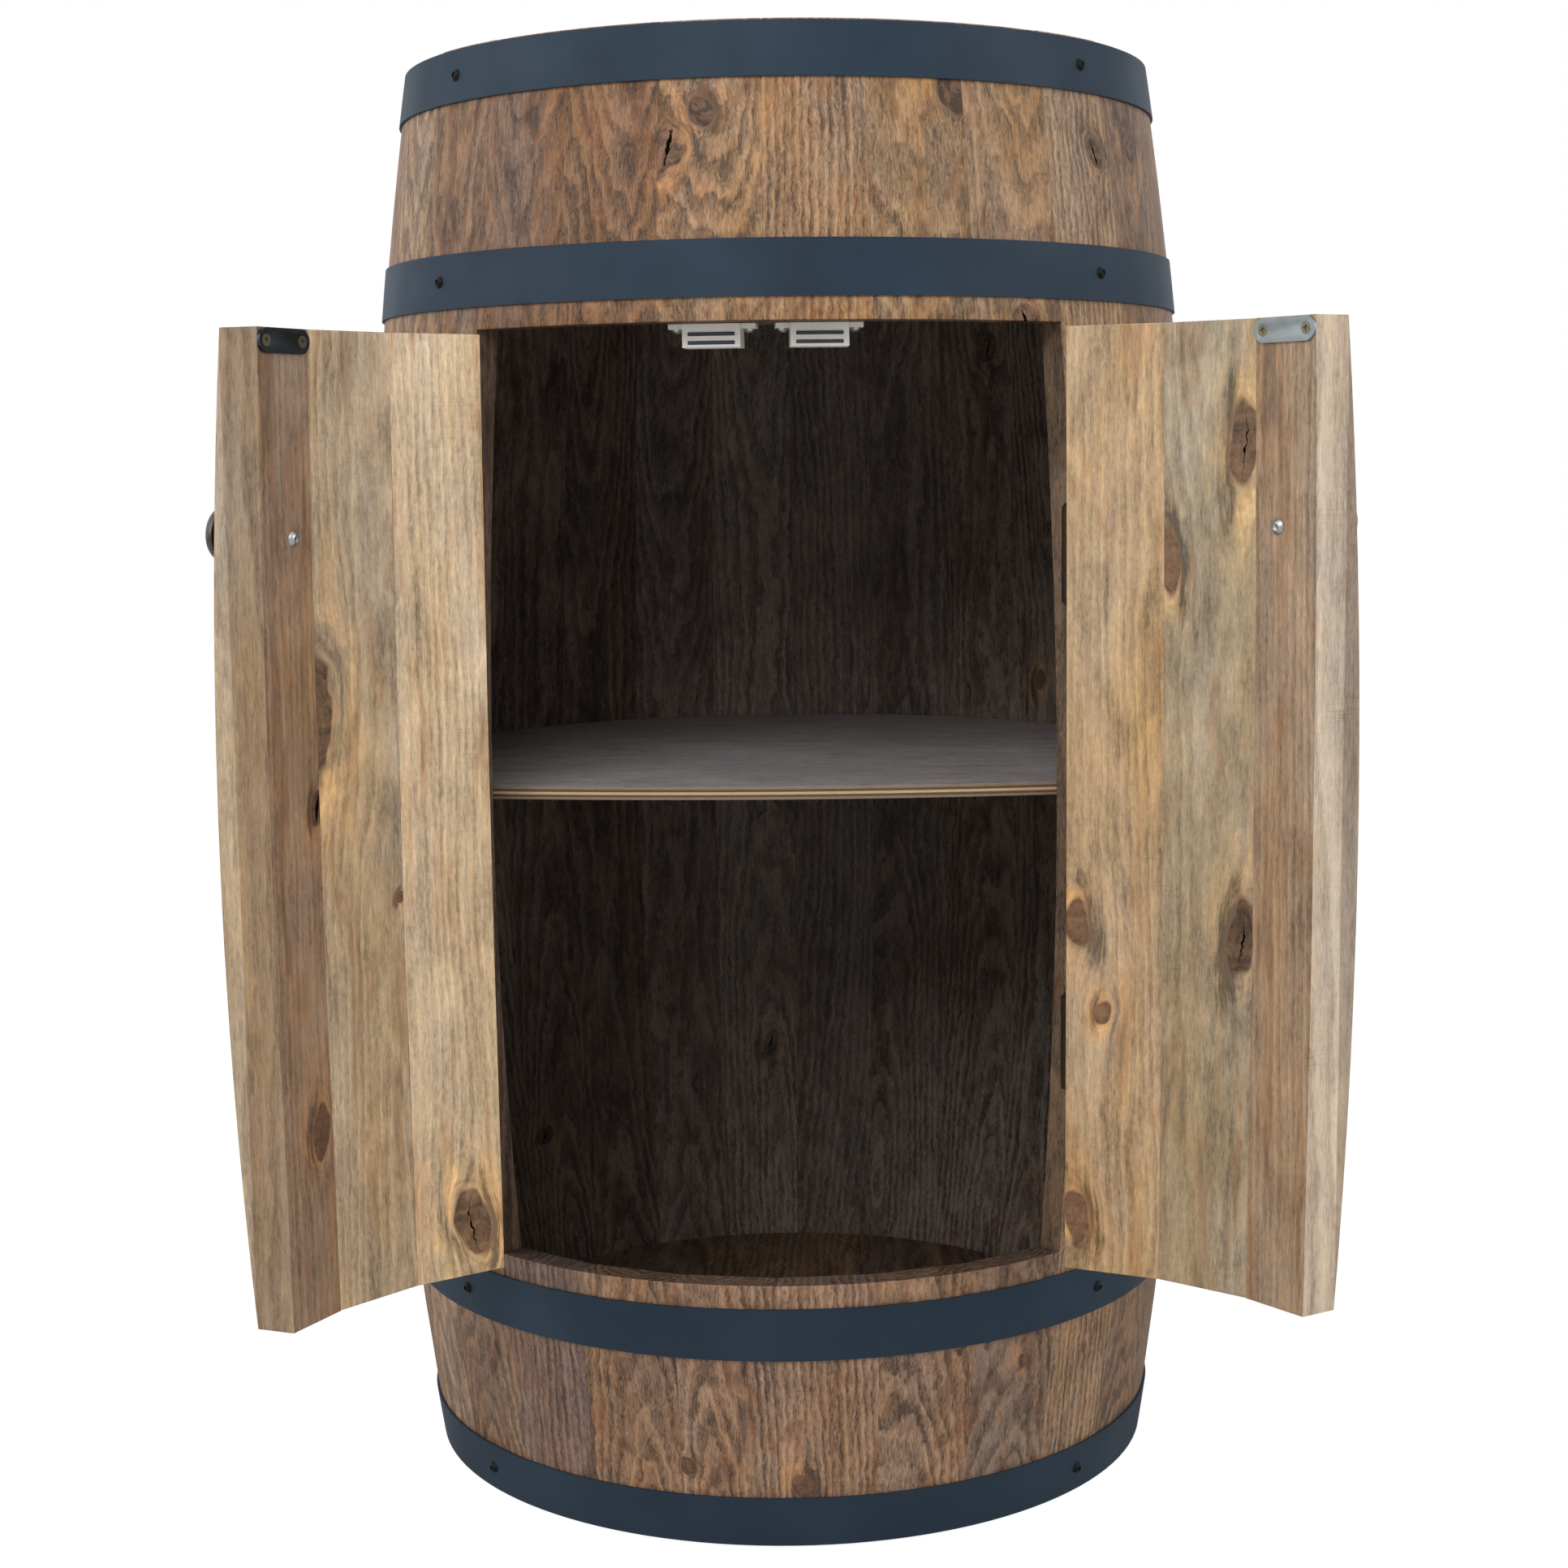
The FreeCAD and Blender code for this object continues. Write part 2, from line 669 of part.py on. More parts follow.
KNUCKLE = "(Sizes.knuckle_diameter / 2)"
HALF_HINGE = "(Sizes.hinge_height / 2)"
SIXTH = "(Sizes.hinge_height / 6)"
LEAF_SCREWS = (-17, 0, 17)
LEAF_SCREW_REACH = 15
LEAF_LEAN = math.degrees(math.asin(size("leaf_width") / size("belly_diameter")))


def upright(name, radius, low, high):
    """A round bar on Z between two heights."""
    bar = primitive("Cylinder", name, Radius=radius, Height=f"{high} - ({low})")
    bar.setExpression("Placement.Base.z", low)
    return bar


def leaf(name, own, others):
    """A hinge leaf: a plate, its own knuckles, and room for the other leaf's knuckles."""
    plate = primitive("Box", f"{name}_plate", Length="Sizes.leaf_width",
                      Width="Sizes.leaf_thickness", Height="Sizes.hinge_height")
    plate.setExpression("Placement.Base.y", "-Sizes.leaf_set")
    plate.setExpression("Placement.Base.z", f"-{HALF_HINGE}")
    knuckles = [upright(f"{name}_knuckle_{number}", KNUCKLE, low, high)
                for number, (low, high) in enumerate(own)]
    solid = joined(f"{name}_solid", [plate] + knuckles)
    tools = [upright(f"{name}_room_{number}", f"{KNUCKLE} + Sizes.knuckle_play", low, high)
             for number, (low, high) in enumerate(others)]
    tools.append(upright(f"{name}_bore", "Sizes.pin_diameter / 2 + Sizes.pin_play",
                         f"-{HALF_HINGE}", HALF_HINGE))
    for number, height in enumerate(LEAF_SCREWS):
        seat = leaf_screw_seat(height)
        sink = primitive("Cone", f"{name}_sink_{number}", Radius1="0",
                         Radius2="Sizes.wood_screw_head / 2", Height="Sizes.wood_screw_head / 2")
        sink.Placement = seat * shifted(z=-size("wood_screw_head") / 2)
        tools.append(sink)
        tools.append(pilot(f"{name}_hole_{number}", "Sizes.wood_screw_diameter",
                           "Sizes.wood_screw_length", seat))
    return cut_by(name, solid, tools)


def leaf_screw_seat(height):
    """The frame of a screw in a leaf: Z out of the leaf's face."""
    face = size("leaf_thickness") - size("leaf_set")
    return shifted(LEAF_SCREW_REACH, face, height) * rotated(X_AXIS, -90)


def leaf_frame(side, height, on_door):
    """Where a leaf goes, with the door closed: it leans in with the staves beside it."""
    toward_front = -SIDES[side] if on_door else SIDES[side]
    flip = rotated((1, 1, 0), 180) if toward_front > 0 else rotated(Z_AXIS, -90)
    return pin_frame(side) * shifted(z=height) * flip * rotated(Z_AXIS, -LEAF_LEAN)


def seat_tool(name, placement):
    """The seat of a leaf in the wood, with room round the knuckle, as a tool to cut with."""
    play = size("knuckle_play")
    box = primitive("Box", f"{name}_box", Length=f"Sizes.leaf_width + {play}",
                    Width="Sizes.knuckle_diameter * 2", Height=f"Sizes.hinge_height + 2 * {play}")
    box.Placement = placement * shifted(0, -size("leaf_set"), -size("hinge_height") / 2 - play)
    room = primitive("Cylinder", f"{name}_room", Radius=f"{KNUCKLE} + 2 * {play}",
                     Height=f"Sizes.hinge_height + 2 * {play}")
    room.Placement = placement * shifted(z=-size("hinge_height") / 2 - play)
    return joined(name, [box, room])


LOWER_KNUCKLE = (f"-{HALF_HINGE}", f"-{SIXTH}")
UPPER_KNUCKLE = (SIXTH, HALF_HINGE)
gap = "Sizes.knuckle_play"
MIDDLE_KNUCKLE = (f"-{SIXTH} + {gap}", f"{SIXTH} - {gap}")
body_leaf = leaf("body_leaf", [LOWER_KNUCKLE, UPPER_KNUCKLE], [(f"-{SIXTH}", SIXTH)])
door_leaf = leaf("door_leaf", [MIDDLE_KNUCKLE],
                 [(f"-{HALF_HINGE} - {gap}", f"-{SIXTH} + {gap}"),
                  (f"{SIXTH} - {gap}", f"{HALF_HINGE} + {gap}")])
pin = turned("pin", [
    ("0", f"-{HALF_HINGE} - Sizes.pin_diameter / 2"),
    ("Sizes.pin_diameter / 2", f"-{HALF_HINGE} - Sizes.pin_diameter / 4"),
    ("Sizes.pin_diameter / 2", HALF_HINGE),
    ("Sizes.pin_diameter * 0.72", f"{HALF_HINGE}"),
    ("Sizes.pin_diameter * 0.72", f"{HALF_HINGE} + Sizes.pin_diameter / 4"),
    ("Sizes.pin_diameter / 3", f"{HALF_HINGE} + Sizes.pin_diameter / 2"),
    ("0", f"{HALF_HINGE} + Sizes.pin_diameter / 2")])

body_leaves, pins = [], []
for side, sign in SIDES.items():
    door_leaves = []
    jamb = stave_at(sign * (JAMB_TURN + STAVE_TURN / 2))
    hung = f"{side}_door_stave_{door_staves}"
    for place, way in (("lower", -1), ("upper", 1)):
        height = worked_out(HALF_HEIGHT) + way * size("hinge_offset")
        name = f"{side}_{place}"
        pins.append(placed(f"{name}_pin", pin, pin_frame(side) * shifted(z=height)))
        frames = {jamb: leaf_frame(side, height, False),
                  hung: swing(side) * leaf_frame(side, height, True)}
        body_leaves.append(placed(f"{name}_body_leaf", body_leaf, frames[jamb]))
        door_leaves.append(placed(f"{name}_door_leaf", door_leaf, frames[hung]))
        for wood, frame in frames.items():
            cut_later(wood, seat_tool(f"{name}_{wood}_seat", frame))
            screws = body_screws if wood == jamb else door_screws[side]
            for number, level in enumerate(LEAF_SCREWS):
                seat = frame * leaf_screw_seat(level)
                label = f"{name}_{wood}_screw_{number}"
                screws.append(placed(label, wood_screw, seat))
                cut_later(wood, pilot(f"{label}_hole", "Sizes.wood_screw_diameter",
                                      "Sizes.wood_screw_length", seat))
    keep(f"{side}_door_hinge_leaves", grouped(f"{side}_door_leaves", door_leaves))
keep("body_hinge_leaves", grouped("body_leaves", body_leaves))
keep("hinge_pins", grouped("pins", pins))


# ---- catches, strike plates and knobs -------------------------------------------------------

STRIKE_HEIGHT = "(Sizes.lintel_height - Sizes.door_gap - 0.2 - Sizes.strike_width / 2)"
STRIKE_SCREW_REACH = 13.5
catch_top = size("lintel_height")
catch_reach = (worked_out(reach(DOOR_INSIDE, "(Sizes.lintel_height - Sizes.door_gap)"))
               - size("strike_thickness") - size("catch_play"))


def catch_block():
    """The block of wood inside the lintel that the catches are screwed up into."""
    block = primitive("Box", "catch_block_blank", Length="Sizes.block_length",
                      Width="Sizes.block_depth", Height="Sizes.block_height")
    wall = worked_out(reach(BARREL_INSIDE, "(Sizes.lintel_height + Sizes.block_height)"))
    half_turn = math.radians(STAVE_TURN / 2)
    along = size("block_length") / 2
    front = (wall - along * math.sin(half_turn)) / math.cos(half_turn) - size("croze_play")
    block.Placement = shifted(-along, -front, size("lintel_height"))
    return block


POLE_LEVELS = (-10.4, -6.0)
EAR_SCREWS = (-18.75, 18.75)


def catch_housing():
    """A magnetic catch: X points at the door, its ears are level with its top, at height 0."""
    body = primitive("Box", "catch_body", Length="Sizes.catch_depth - Sizes.pole_proud",
                     Width="Sizes.catch_width", Height="Sizes.catch_height")
    body.Placement = shifted(-size("catch_depth"), -size("catch_width") / 2,
                             -size("catch_height"))
    ears = primitive("Box", "catch_ears", Length="Sizes.catch_depth * 0.7",
                     Width="Sizes.ear_span", Height="Sizes.ear_thickness")
    ears.Placement = shifted(-0.85 * size("catch_depth"), -size("ear_span") / 2,
                             -size("ear_thickness"))
    tools = []
    for number, level in enumerate(POLE_LEVELS):
        slot = primitive("Box", f"catch_slot_{number}", Length="Sizes.catch_depth",
                         Width="Sizes.catch_width * 0.8 + Sizes.croze_play",
                         Height="Sizes.pole_thickness + Sizes.croze_play")
        slot.Placement = shifted(-0.75 * size("catch_depth"),
                                 -0.4 * size("catch_width") - size("croze_play") / 2,
                                 level - size("croze_play") / 2)
        tools.append(slot)
    for number, across in enumerate(EAR_SCREWS):
        tools.append(primitive("Cylinder", f"catch_ear_hole_{number}",
                               shifted(-size("catch_depth") / 2, across, -5),
                               Radius="Sizes.wood_screw_diameter / 2 + Sizes.croze_play",
                               Height="10"))
    return cut_by("catch_shell", joined("catch_solid", [body, ears]), tools)


def catch_poles():
    """The two steel plates that carry the magnet's pull to the front of a catch."""
    plates = []
    for number, level in enumerate(POLE_LEVELS):
        plate = primitive("Box", f"catch_pole_{number}", Length="0.7 * Sizes.catch_depth",
                          Width="Sizes.catch_width * 0.8", Height="Sizes.pole_thickness")
        plate.Placement = shifted(-0.7 * size("catch_depth"), -0.4 * size("catch_width"), level)
        plates.append(plate)
    return grouped("catch_pole_pair", plates)


def strike_plate():
    """A steel plate with round ends: Z out of its face, which is at height 0."""
    radius = "Sizes.strike_width / 2"
    straight = size("strike_length") - size("strike_width")
    bar = primitive("Box", "strike_bar", shifted(-size("strike_width") / 2, -straight / 2,
                                                 -size("strike_thickness")),
                    Length="Sizes.strike_width", Height="Sizes.strike_thickness",
                    Width="Sizes.strike_length - Sizes.strike_width")
    ends = [primitive("Cylinder", f"strike_end_{number}",
                      shifted(0, across, -size("strike_thickness")),
                      Radius=radius, Height="Sizes.strike_thickness")
            for number, across in enumerate((-straight / 2, straight / 2))]
    tools = []
    for number, across in enumerate((-STRIKE_SCREW_REACH, STRIKE_SCREW_REACH)):
        seat = shifted(0, across, 0)
        sink = primitive("Cone", f"strike_sink_{number}",
                         seat * shifted(z=-size("wood_screw_head") / 2), Radius1="0",
                         Radius2="Sizes.wood_screw_head / 2", Height="Sizes.wood_screw_head / 2")
        tools.append(sink)
        tools.append(pilot(f"strike_hole_{number}", "Sizes.wood_screw_diameter",
                           "Sizes.wood_screw_length", seat))
    return cut_by("strike_plate", joined("strike_solid", [bar] + ends), tools)


def knob_shape():
    """A turned knob with a foot, a waist and a mushroom head, bored for its screw."""
    radius, length = "(Sizes.knob_diameter / 2)", "Sizes.knob_length"
    bore = "(Sizes.knob_screw_diameter / 2 + Sizes.pin_play)"
    rim, crown = f"(0.9 * {radius})", f"(0.22 * {length})"
    dome = f"(({rim}^2 + {crown}^2) / (2 * {crown}))"
    return turned("knob", [
        (bore, "0.1"), (f"0.6 * {radius}", "0.1"), (f"0.6 * {radius}", f"0.12 * {length}"),
        (f"0.44 * {radius}", f"0.3 * {length}"), (f"0.5 * {radius}", f"0.45 * {length}"),
        (radius, f"0.55 * {length}"), (radius, f"0.64 * {length}"),
        (rim, f"{length} - {crown}", dome, 1),
        ("0", length), ("0", f"{KNOB_SCREW_BITE} + 1.5"), (bore, f"{KNOB_SCREW_BITE} + 1.5")])


blanks["catch_block"] = catch_block()
housing, poles = catch_housing(), catch_poles()
strike, knob = strike_plate(), knob_shape()
housings, pole_pairs = [], []
for side, sign in SIDES.items():
    turn_angle = sign * (STAVE_TURN / 2 - DOOR_SHIFT)
    planed_middle = shifted(y=sign * worked_out(PLANED) / 2)
    free_stave = f"{side}_door_stave_1"
    catch_frame = (facing(turn_angle) * planed_middle
                   * shifted(catch_reach, sign * size("catch_offset"), catch_top))
    housings.append(placed(f"{side}_catch_housing", housing, catch_frame))
    pole_pairs.append(placed(f"{side}_catch_poles", poles, catch_frame))
    for number, across in enumerate(EAR_SCREWS):
        seat = (catch_frame * shifted(-size("catch_depth") / 2, across, -size("ear_thickness"))
                * rotated(X_AXIS, 180))
        name = f"{side}_ear_screw_{number}"
        body_screws.append(placed(name, hoop_screw, seat))
        cut_later("catch_block", pilot(f"{name}_hole", "Sizes.wood_screw_diameter",
                                       "Sizes.hoop_screw_length", seat))

    inner_face = swing(side) * on_bow(DOOR_INSIDE, turn_angle, worked_out(STRIKE_HEIGHT))
    turned_in = inner_face * planed_middle * rotated(X_AXIS, 180)
    strike_seat = turned_in * shifted(z=size("strike_thickness") + size("pin_play"))
    keep(f"{side}_strike_plate", placed(f"{side}_strike", strike, strike_seat))
    for number, across in enumerate((-STRIKE_SCREW_REACH, STRIKE_SCREW_REACH)):
        seat = strike_seat * shifted(y=across)
        name = f"{side}_strike_screw_{number}"
        door_screws[side].append(placed(name, wood_screw, seat))
        cut_later(free_stave, pilot(f"{name}_hole", "Sizes.wood_screw_diameter",
                                    "Sizes.wood_screw_length", seat))

    outer_face = (swing(side) * on_bow(OUTSIDE, turn_angle, size("knob_height"))
                  * planed_middle * shifted(y=sign * size("knob_offset")))
    keep(f"{side}_knob", placed(f"{side}_knob_placed", knob, outer_face))
    seat = outer_face * shifted(z=-worked_out(KNOB_GRIP)) * rotated(X_AXIS, 180)
    door_screws[side].append(placed(f"{side}_knob_screw_placed", knob_screw, seat))
    cut_later(free_stave, pilot(f"{side}_knob_hole", "Sizes.knob_screw_diameter",
                                KNOB_SCREW_LENGTH, seat))
    keep(f"{side}_door_screws", grouped(f"{side}_door_screw_set", door_screws[side]))

keep("catch_housings", grouped("catch_housing_pair", housings))
keep("catch_poles", grouped("catch_pole_pairs", pole_pairs))
keep("body_screws", grouped("body_screw_set", body_screws))


# ---- cut the blanks, check every piece and write it -------------------------------------------

for label, blank in blanks.items():
    tools = cutters.get(label)
    keep(label, cut_by(f"{label}_cut", blank, tools) if tools else blank)

document.recompute()

failed = [item.Label for item in document.Objects
          if {"Invalid", "Error"} & set(item.State)]
for label, item in nodes.items():
    shape = Part.getShape(item)
    if shape.isNull() or not shape.isValid() or not shape.Solids:
        failed.append(label)
if failed:
    raise SystemExit(f"these pieces failed: {failed}")

os.makedirs("parts", exist_ok=True)
for label, item in sorted(nodes.items()):
    shape = Part.getShape(item)
    shape.exportStep(f"parts/{label}.step")
    print(f"{label}: {len(shape.Solids)} solid(s), {shape.Volume / 1000:.1f} cm3")
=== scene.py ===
# %% [markdown]
# # A barrel bar cabinet
#
# This file gives a barrel cabinet its looks. The barrel stands on end, and two bowed doors
# of three staves each close the doorway in its front. Its shapes and sizes come from a
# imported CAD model, the frame, which Blender never moves or changes. Here every part gets its
# eased edges, its wood grain, its paint or its plating, and then the light and the camera.
#
# Lengths are in metres. The barrel's axis is Z, and the doorway faces -Y.

# %% Load the frame
import json
import math
import random

import bmesh
import bpy
from mathutils import Matrix, Vector

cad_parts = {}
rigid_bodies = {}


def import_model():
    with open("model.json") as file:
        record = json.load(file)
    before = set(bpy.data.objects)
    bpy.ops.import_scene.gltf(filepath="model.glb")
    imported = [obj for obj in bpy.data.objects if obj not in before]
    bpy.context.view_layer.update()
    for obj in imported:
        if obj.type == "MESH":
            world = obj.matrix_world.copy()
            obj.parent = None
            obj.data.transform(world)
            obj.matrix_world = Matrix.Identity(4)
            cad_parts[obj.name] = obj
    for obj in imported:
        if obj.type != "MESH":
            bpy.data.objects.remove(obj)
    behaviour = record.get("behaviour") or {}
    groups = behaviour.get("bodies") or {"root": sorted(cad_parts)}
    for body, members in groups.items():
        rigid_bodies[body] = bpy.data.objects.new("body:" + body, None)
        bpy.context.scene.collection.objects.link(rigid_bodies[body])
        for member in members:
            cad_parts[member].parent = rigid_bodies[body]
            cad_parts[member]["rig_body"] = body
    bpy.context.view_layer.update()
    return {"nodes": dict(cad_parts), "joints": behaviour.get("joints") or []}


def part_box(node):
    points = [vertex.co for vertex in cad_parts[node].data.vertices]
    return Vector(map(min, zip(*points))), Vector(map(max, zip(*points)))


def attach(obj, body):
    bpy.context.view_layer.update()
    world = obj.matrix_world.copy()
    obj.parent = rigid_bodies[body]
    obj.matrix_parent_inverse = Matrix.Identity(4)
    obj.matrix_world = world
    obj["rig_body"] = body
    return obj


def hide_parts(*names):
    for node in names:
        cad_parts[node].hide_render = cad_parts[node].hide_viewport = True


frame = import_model()
nodes = frame["nodes"]

# %% [markdown]
# ## Small tools
#
# A material is a graph of nodes. One function adds a node, sets its settings and links its
# inputs, so that a material reads as a list of steps. Colours are written as the sRGB hex
# codes that a paint chart or a picture editor shows, and one function turns them into the
# linear values that Blender calculates with.

# %% A colour from a hex code
def colour(code):
    """The linear RGBA value of an sRGB hex code."""
    parts = [int(code[i:i + 2], 16) / 255 for i in (1, 3, 5)]
    linear = [p / 12.92 if p <= 0.04045 else ((p + 0.055) / 1.055) ** 2.4 for p in parts]
    return (*linear, 1.0)


print("mid grey is", [round(part, 3) for part in colour("#808080")])


# %% A node with its settings and links
def add(tree, kind, inputs=None, stops=None, **settings):
    """Add a node. An input is a value, a socket, or a node whose first output is meant."""
    made = tree.nodes.new("ShaderNode" + kind)
    for name, value in settings.items():
        setattr(made, name, value)
    for name, value in (inputs or {}).items():
        if isinstance(value, bpy.types.Node):
            value = value.outputs[0]
        if isinstance(value, bpy.types.NodeSocket):
            tree.links.new(value, made.inputs[name])
        else:
            made.inputs[name].default_value = value
    if stops:
        ramp = made.color_ramp.elements
        while len(ramp) < len(stops):
            ramp.new(0.5)
        for element, (position, value) in zip(ramp, stops):
            element.position = position
            element.color = value
    return made


# %% An empty material with its surface shader
def new_material(name, **surface):
    """A material, its tree, and a Principled shader whose plain sockets are set here."""
    material = bpy.data.materials.new(name)
    material.use_nodes = True
    tree = material.node_tree
    shader = tree.nodes["Principled BSDF"]
    for socket, value in surface.items():
        shader.inputs[socket.replace("_", " ")].default_value = value
    return material, tree, shader


# %% [markdown]
# ## The barrel's measures
#
# The grain of a stave follows the stave, not the room, so each one needs its own frame: X
# across it, Y out of the barrel, Z up. The ring is divided into equal staves. A door stave
# stands where it would in the closed barrel, and then swings with its door about the pin,
# whose place and opening the frame's joints give.

# %% Measures
HEIGHT = 0.8
BELLY = 0.242
END = 0.2115
STAVES = 26
STAVE_TURN = 2 * math.pi / STAVES
HINGE_GAP = 0.009
DOOR_SHIFT = HINGE_GAP / BELLY
MM = 0.001


def outer_radius(height):
    """How far the outside of the staves is from the axis at a height."""
    bow = BELLY - END
    reach = ((HEIGHT / 2) ** 2 + bow ** 2) / (2 * bow)
    return BELLY - reach + math.sqrt(reach ** 2 - (height - HEIGHT / 2) ** 2)


print(f"outside at the hoops: {outer_radius(0.015):.4f}, at the belly {outer_radius(0.4):.4f}")


# %% The frame of each stave
def facing(angle):
    """X across a stave that faces out at this angle from the front, Y out of the barrel."""
    across = Vector((math.cos(angle), math.sin(angle), 0))
    out = Vector((math.sin(angle), -math.cos(angle), 0))
    return Matrix((across, out, Vector((0, 0, 1)))).transposed().to_4x4()


door_hinges = {side: next(joint for joint in frame["joints"]
                          if joint["name"] == f"{side}_door_hinge") for side in ("left", "right")}


def swing(side):
    """What moves a closed door to its rest pose, open."""
    joint = door_hinges[side]
    pin = Matrix.Translation(joint["pos_m"])
    opening = math.radians(-joint["range_deg"][0])
    return pin @ Matrix.Rotation(opening, 4, Vector(joint["axis"])) @ pin.inverted()


stave_frames = {}
for number in range(3, STAVES - 3):
    stave_frames[f"stave_{number - 2:02d}"] = facing((number + 0.5) * STAVE_TURN)
for number in range(-3, 3):
    for part in ("lintel", "sill"):
        stave_frames[f"{part}_stave_{number + 4}"] = facing((number + 0.5) * STAVE_TURN)
for side, sign in (("left", -1), ("right", 1)):
    for number in range(3):
        closed = facing(sign * ((number + 0.5) * STAVE_TURN - DOOR_SHIFT))
        stave_frames[f"{side}_door_stave_{number + 1}"] = swing(side) @ closed
print(f"{len(stave_frames)} stave frames")

# %% [markdown]
# ## Pieces with eased edges
#
# No real edge is perfectly sharp: sawn wood is sanded and sheet steel is rolled. A narrow
# rounded edge catches a line of light, and without it a model looks cut from paper. Each
# piece here is a copy of its CAD node. The copy's loose triangles are merged, flat regions
# become single faces, and a Bevel modifier rounds the edges that are marked with a weight.
# Modelling each piece again by hand would round them just as well, but the copy keeps every
# screw hole and hinge seat where the CAD has it.

# %% Copy a node as a clean mesh
def clean_copy(name, flat_within=0.5, label=None, wanted=None):
    """A merged copy of a CAD node's mesh, with flat regions as single faces.

    wanted says of a face whether it is kept, where a piece is only a part of its node.
    """
    source = nodes[name]
    mesh = source.data.copy()
    shape = bmesh.new()
    shape.from_mesh(mesh)
    if wanted:
        others = [face for face in shape.faces if not wanted(face)]
        bmesh.ops.delete(shape, geom=others, context="FACES")
    bmesh.ops.remove_doubles(shape, verts=shape.verts, dist=1e-6)
    bmesh.ops.dissolve_limit(shape, angle_limit=math.radians(flat_within),
                             verts=shape.verts, edges=shape.edges)
    shape.to_mesh(mesh)
    shape.free()
    mesh.materials.clear()
    piece = bpy.data.objects.new(f"{label or name}_finished", mesh)
    bpy.context.scene.collection.objects.link(piece)
    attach(piece, source["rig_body"])
    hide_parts(name)
    return piece


# %% Round the marked edges
def ease_edges(piece, width, sharper_than=30, segments=2, weight=lambda middle: 1.0):
    """Round every edge that turns by more than an angle. weight scales the width by place."""
    shape = bmesh.new()
    shape.from_mesh(piece.data)
    marks = shape.edges.layers.float.new("bevel_weight_edge")
    for edge in shape.edges:
        if len(edge.link_faces) == 2 and edge.calc_face_angle(0) > math.radians(sharper_than):
            edge[marks] = weight((edge.verts[0].co + edge.verts[1].co) / 2)
    for face in shape.faces:
        face.smooth = True
    shape.to_mesh(piece.data)
    shape.free()
    rounding = piece.modifiers.new("eased_edges", "BEVEL")
    rounding.width = width
    rounding.segments = segments
    rounding.limit_method = "WEIGHT"
    rounding.profile = 0.5
    rounding.harden_normals = False
    piece.data.set_sharp_from_angle(angle=math.radians(35))


# %% [markdown]
# ## Stained pine
#
# The staves are pine, a softwood with wide soft earlywood bands and thin hard latewood
# lines, brushed with a walnut-brown stain and a satin lacquer. The soft bands drink more
# stain than the hard lines. Where a board is sawn near the heart its rings come out as tall
# arches, and further out as straight lines. Knots are branches cut across: the grain flows
# round each one as water flows round a stone.
#
# A picture of wood would repeat and stop at the edges. Here the rings are worked out in
# three dimensions, as circles round the tree's heart, so an arch on a face and the curved
# lines on the end grain belong to one board. Every board carries attributes that say where
# each of its points was in its own tree: "grain" (distance across from the heart, depth from
# the heart, height), and "knot_1" to "knot_3" (the place seen from a knot, in knot sizes,
# with the knot's half-width in the middle). "tint" is the brown that the board took on.

# %% Where the knots are
# For each stave: across (mm), height (mm), half-width (mm), half-length (mm), and how wide
# the knot has cracked: 0 is whole, 1 is a wide crack and more is a hole. A negative half-width
# turns the knot round, with its dark side towards the other joint. Three knots at most,
# because the finish reads three.
KNOTS = {
    "left_door_stave_1": [(-24, 414, 4, 8, 2.5), (-17, 251, 6, 13, 0)],
    "left_door_stave_2": [(27, 452, 10, 28, 0), (-24, 361, 2.5, 3, 0)],
    "left_door_stave_3": [(-9, 183, -10, 15, 0.6)],
    "right_door_stave_1": [],
    "right_door_stave_2": [(-20, 585, 7, 20, 0.4), (24, 529, -6, 16, 0), (-20, 341, 7, 20, 0.5)],
    "right_door_stave_3": [(20, 341, -7, 13, 0), (6, 294, 4, 6, 0), (20, 183, -7, 14, 0)],
    "lintel_stave_1": [(-30, 716, 3, 4, 0)],
    "lintel_stave_2": [],
    "lintel_stave_3": [(-21, 737, -8, 12, 1), (-4, 754, 6, 7, 0)],
    "lintel_stave_4": [],
    "lintel_stave_5": [(20, 764, 7, 9, 0)],
    "sill_stave_3": [(-23, 46, 4, 5, 0)],
    "sill_stave_4": [(-13, 36, 5, 7, 0)],
    "sill_stave_6": [(6, 92, 3, 4, 0)],
}
KNOT_MARKS = ("knot_1", "knot_2", "knot_3")
# The brown that each board took on, and whether it was sawn flat or on the rift.
TINTS = {
    "left_door_stave_1": "#8C715A", "left_door_stave_2": "#AA9377",
    "left_door_stave_3": "#C2A98A", "right_door_stave_1": "#987F67",
    "right_door_stave_2": "#9C8A70", "right_door_stave_3": "#AF926F",
    "lintel_stave_1": "#6C4D35", "lintel_stave_2": "#72533A", "lintel_stave_3": "#896C51",
    "lintel_stave_4": "#8C6D51", "lintel_stave_5": "#8A6D4F", "lintel_stave_6": "#82674D",
    "sill_stave_1": "#6B554A", "sill_stave_2": "#80644F", "sill_stave_3": "#856955",
    "sill_stave_4": "#876B56", "sill_stave_5": "#856954", "sill_stave_6": "#715B4B",
}
OTHER_TINTS = ("#735842", "#7A604A", "#82664D", "#896D53", "#7C604A")
SAWN = {
    "left_door_stave_1": "rift", "left_door_stave_2": "flat", "left_door_stave_3": "rift",
    "right_door_stave_1": "rift", "right_door_stave_2": "flat", "right_door_stave_3": "rift",
    "lintel_stave_3": "flat", "lintel_stave_4": "rift", "lintel_stave_5": "flat",
}
chance = random.Random(26)
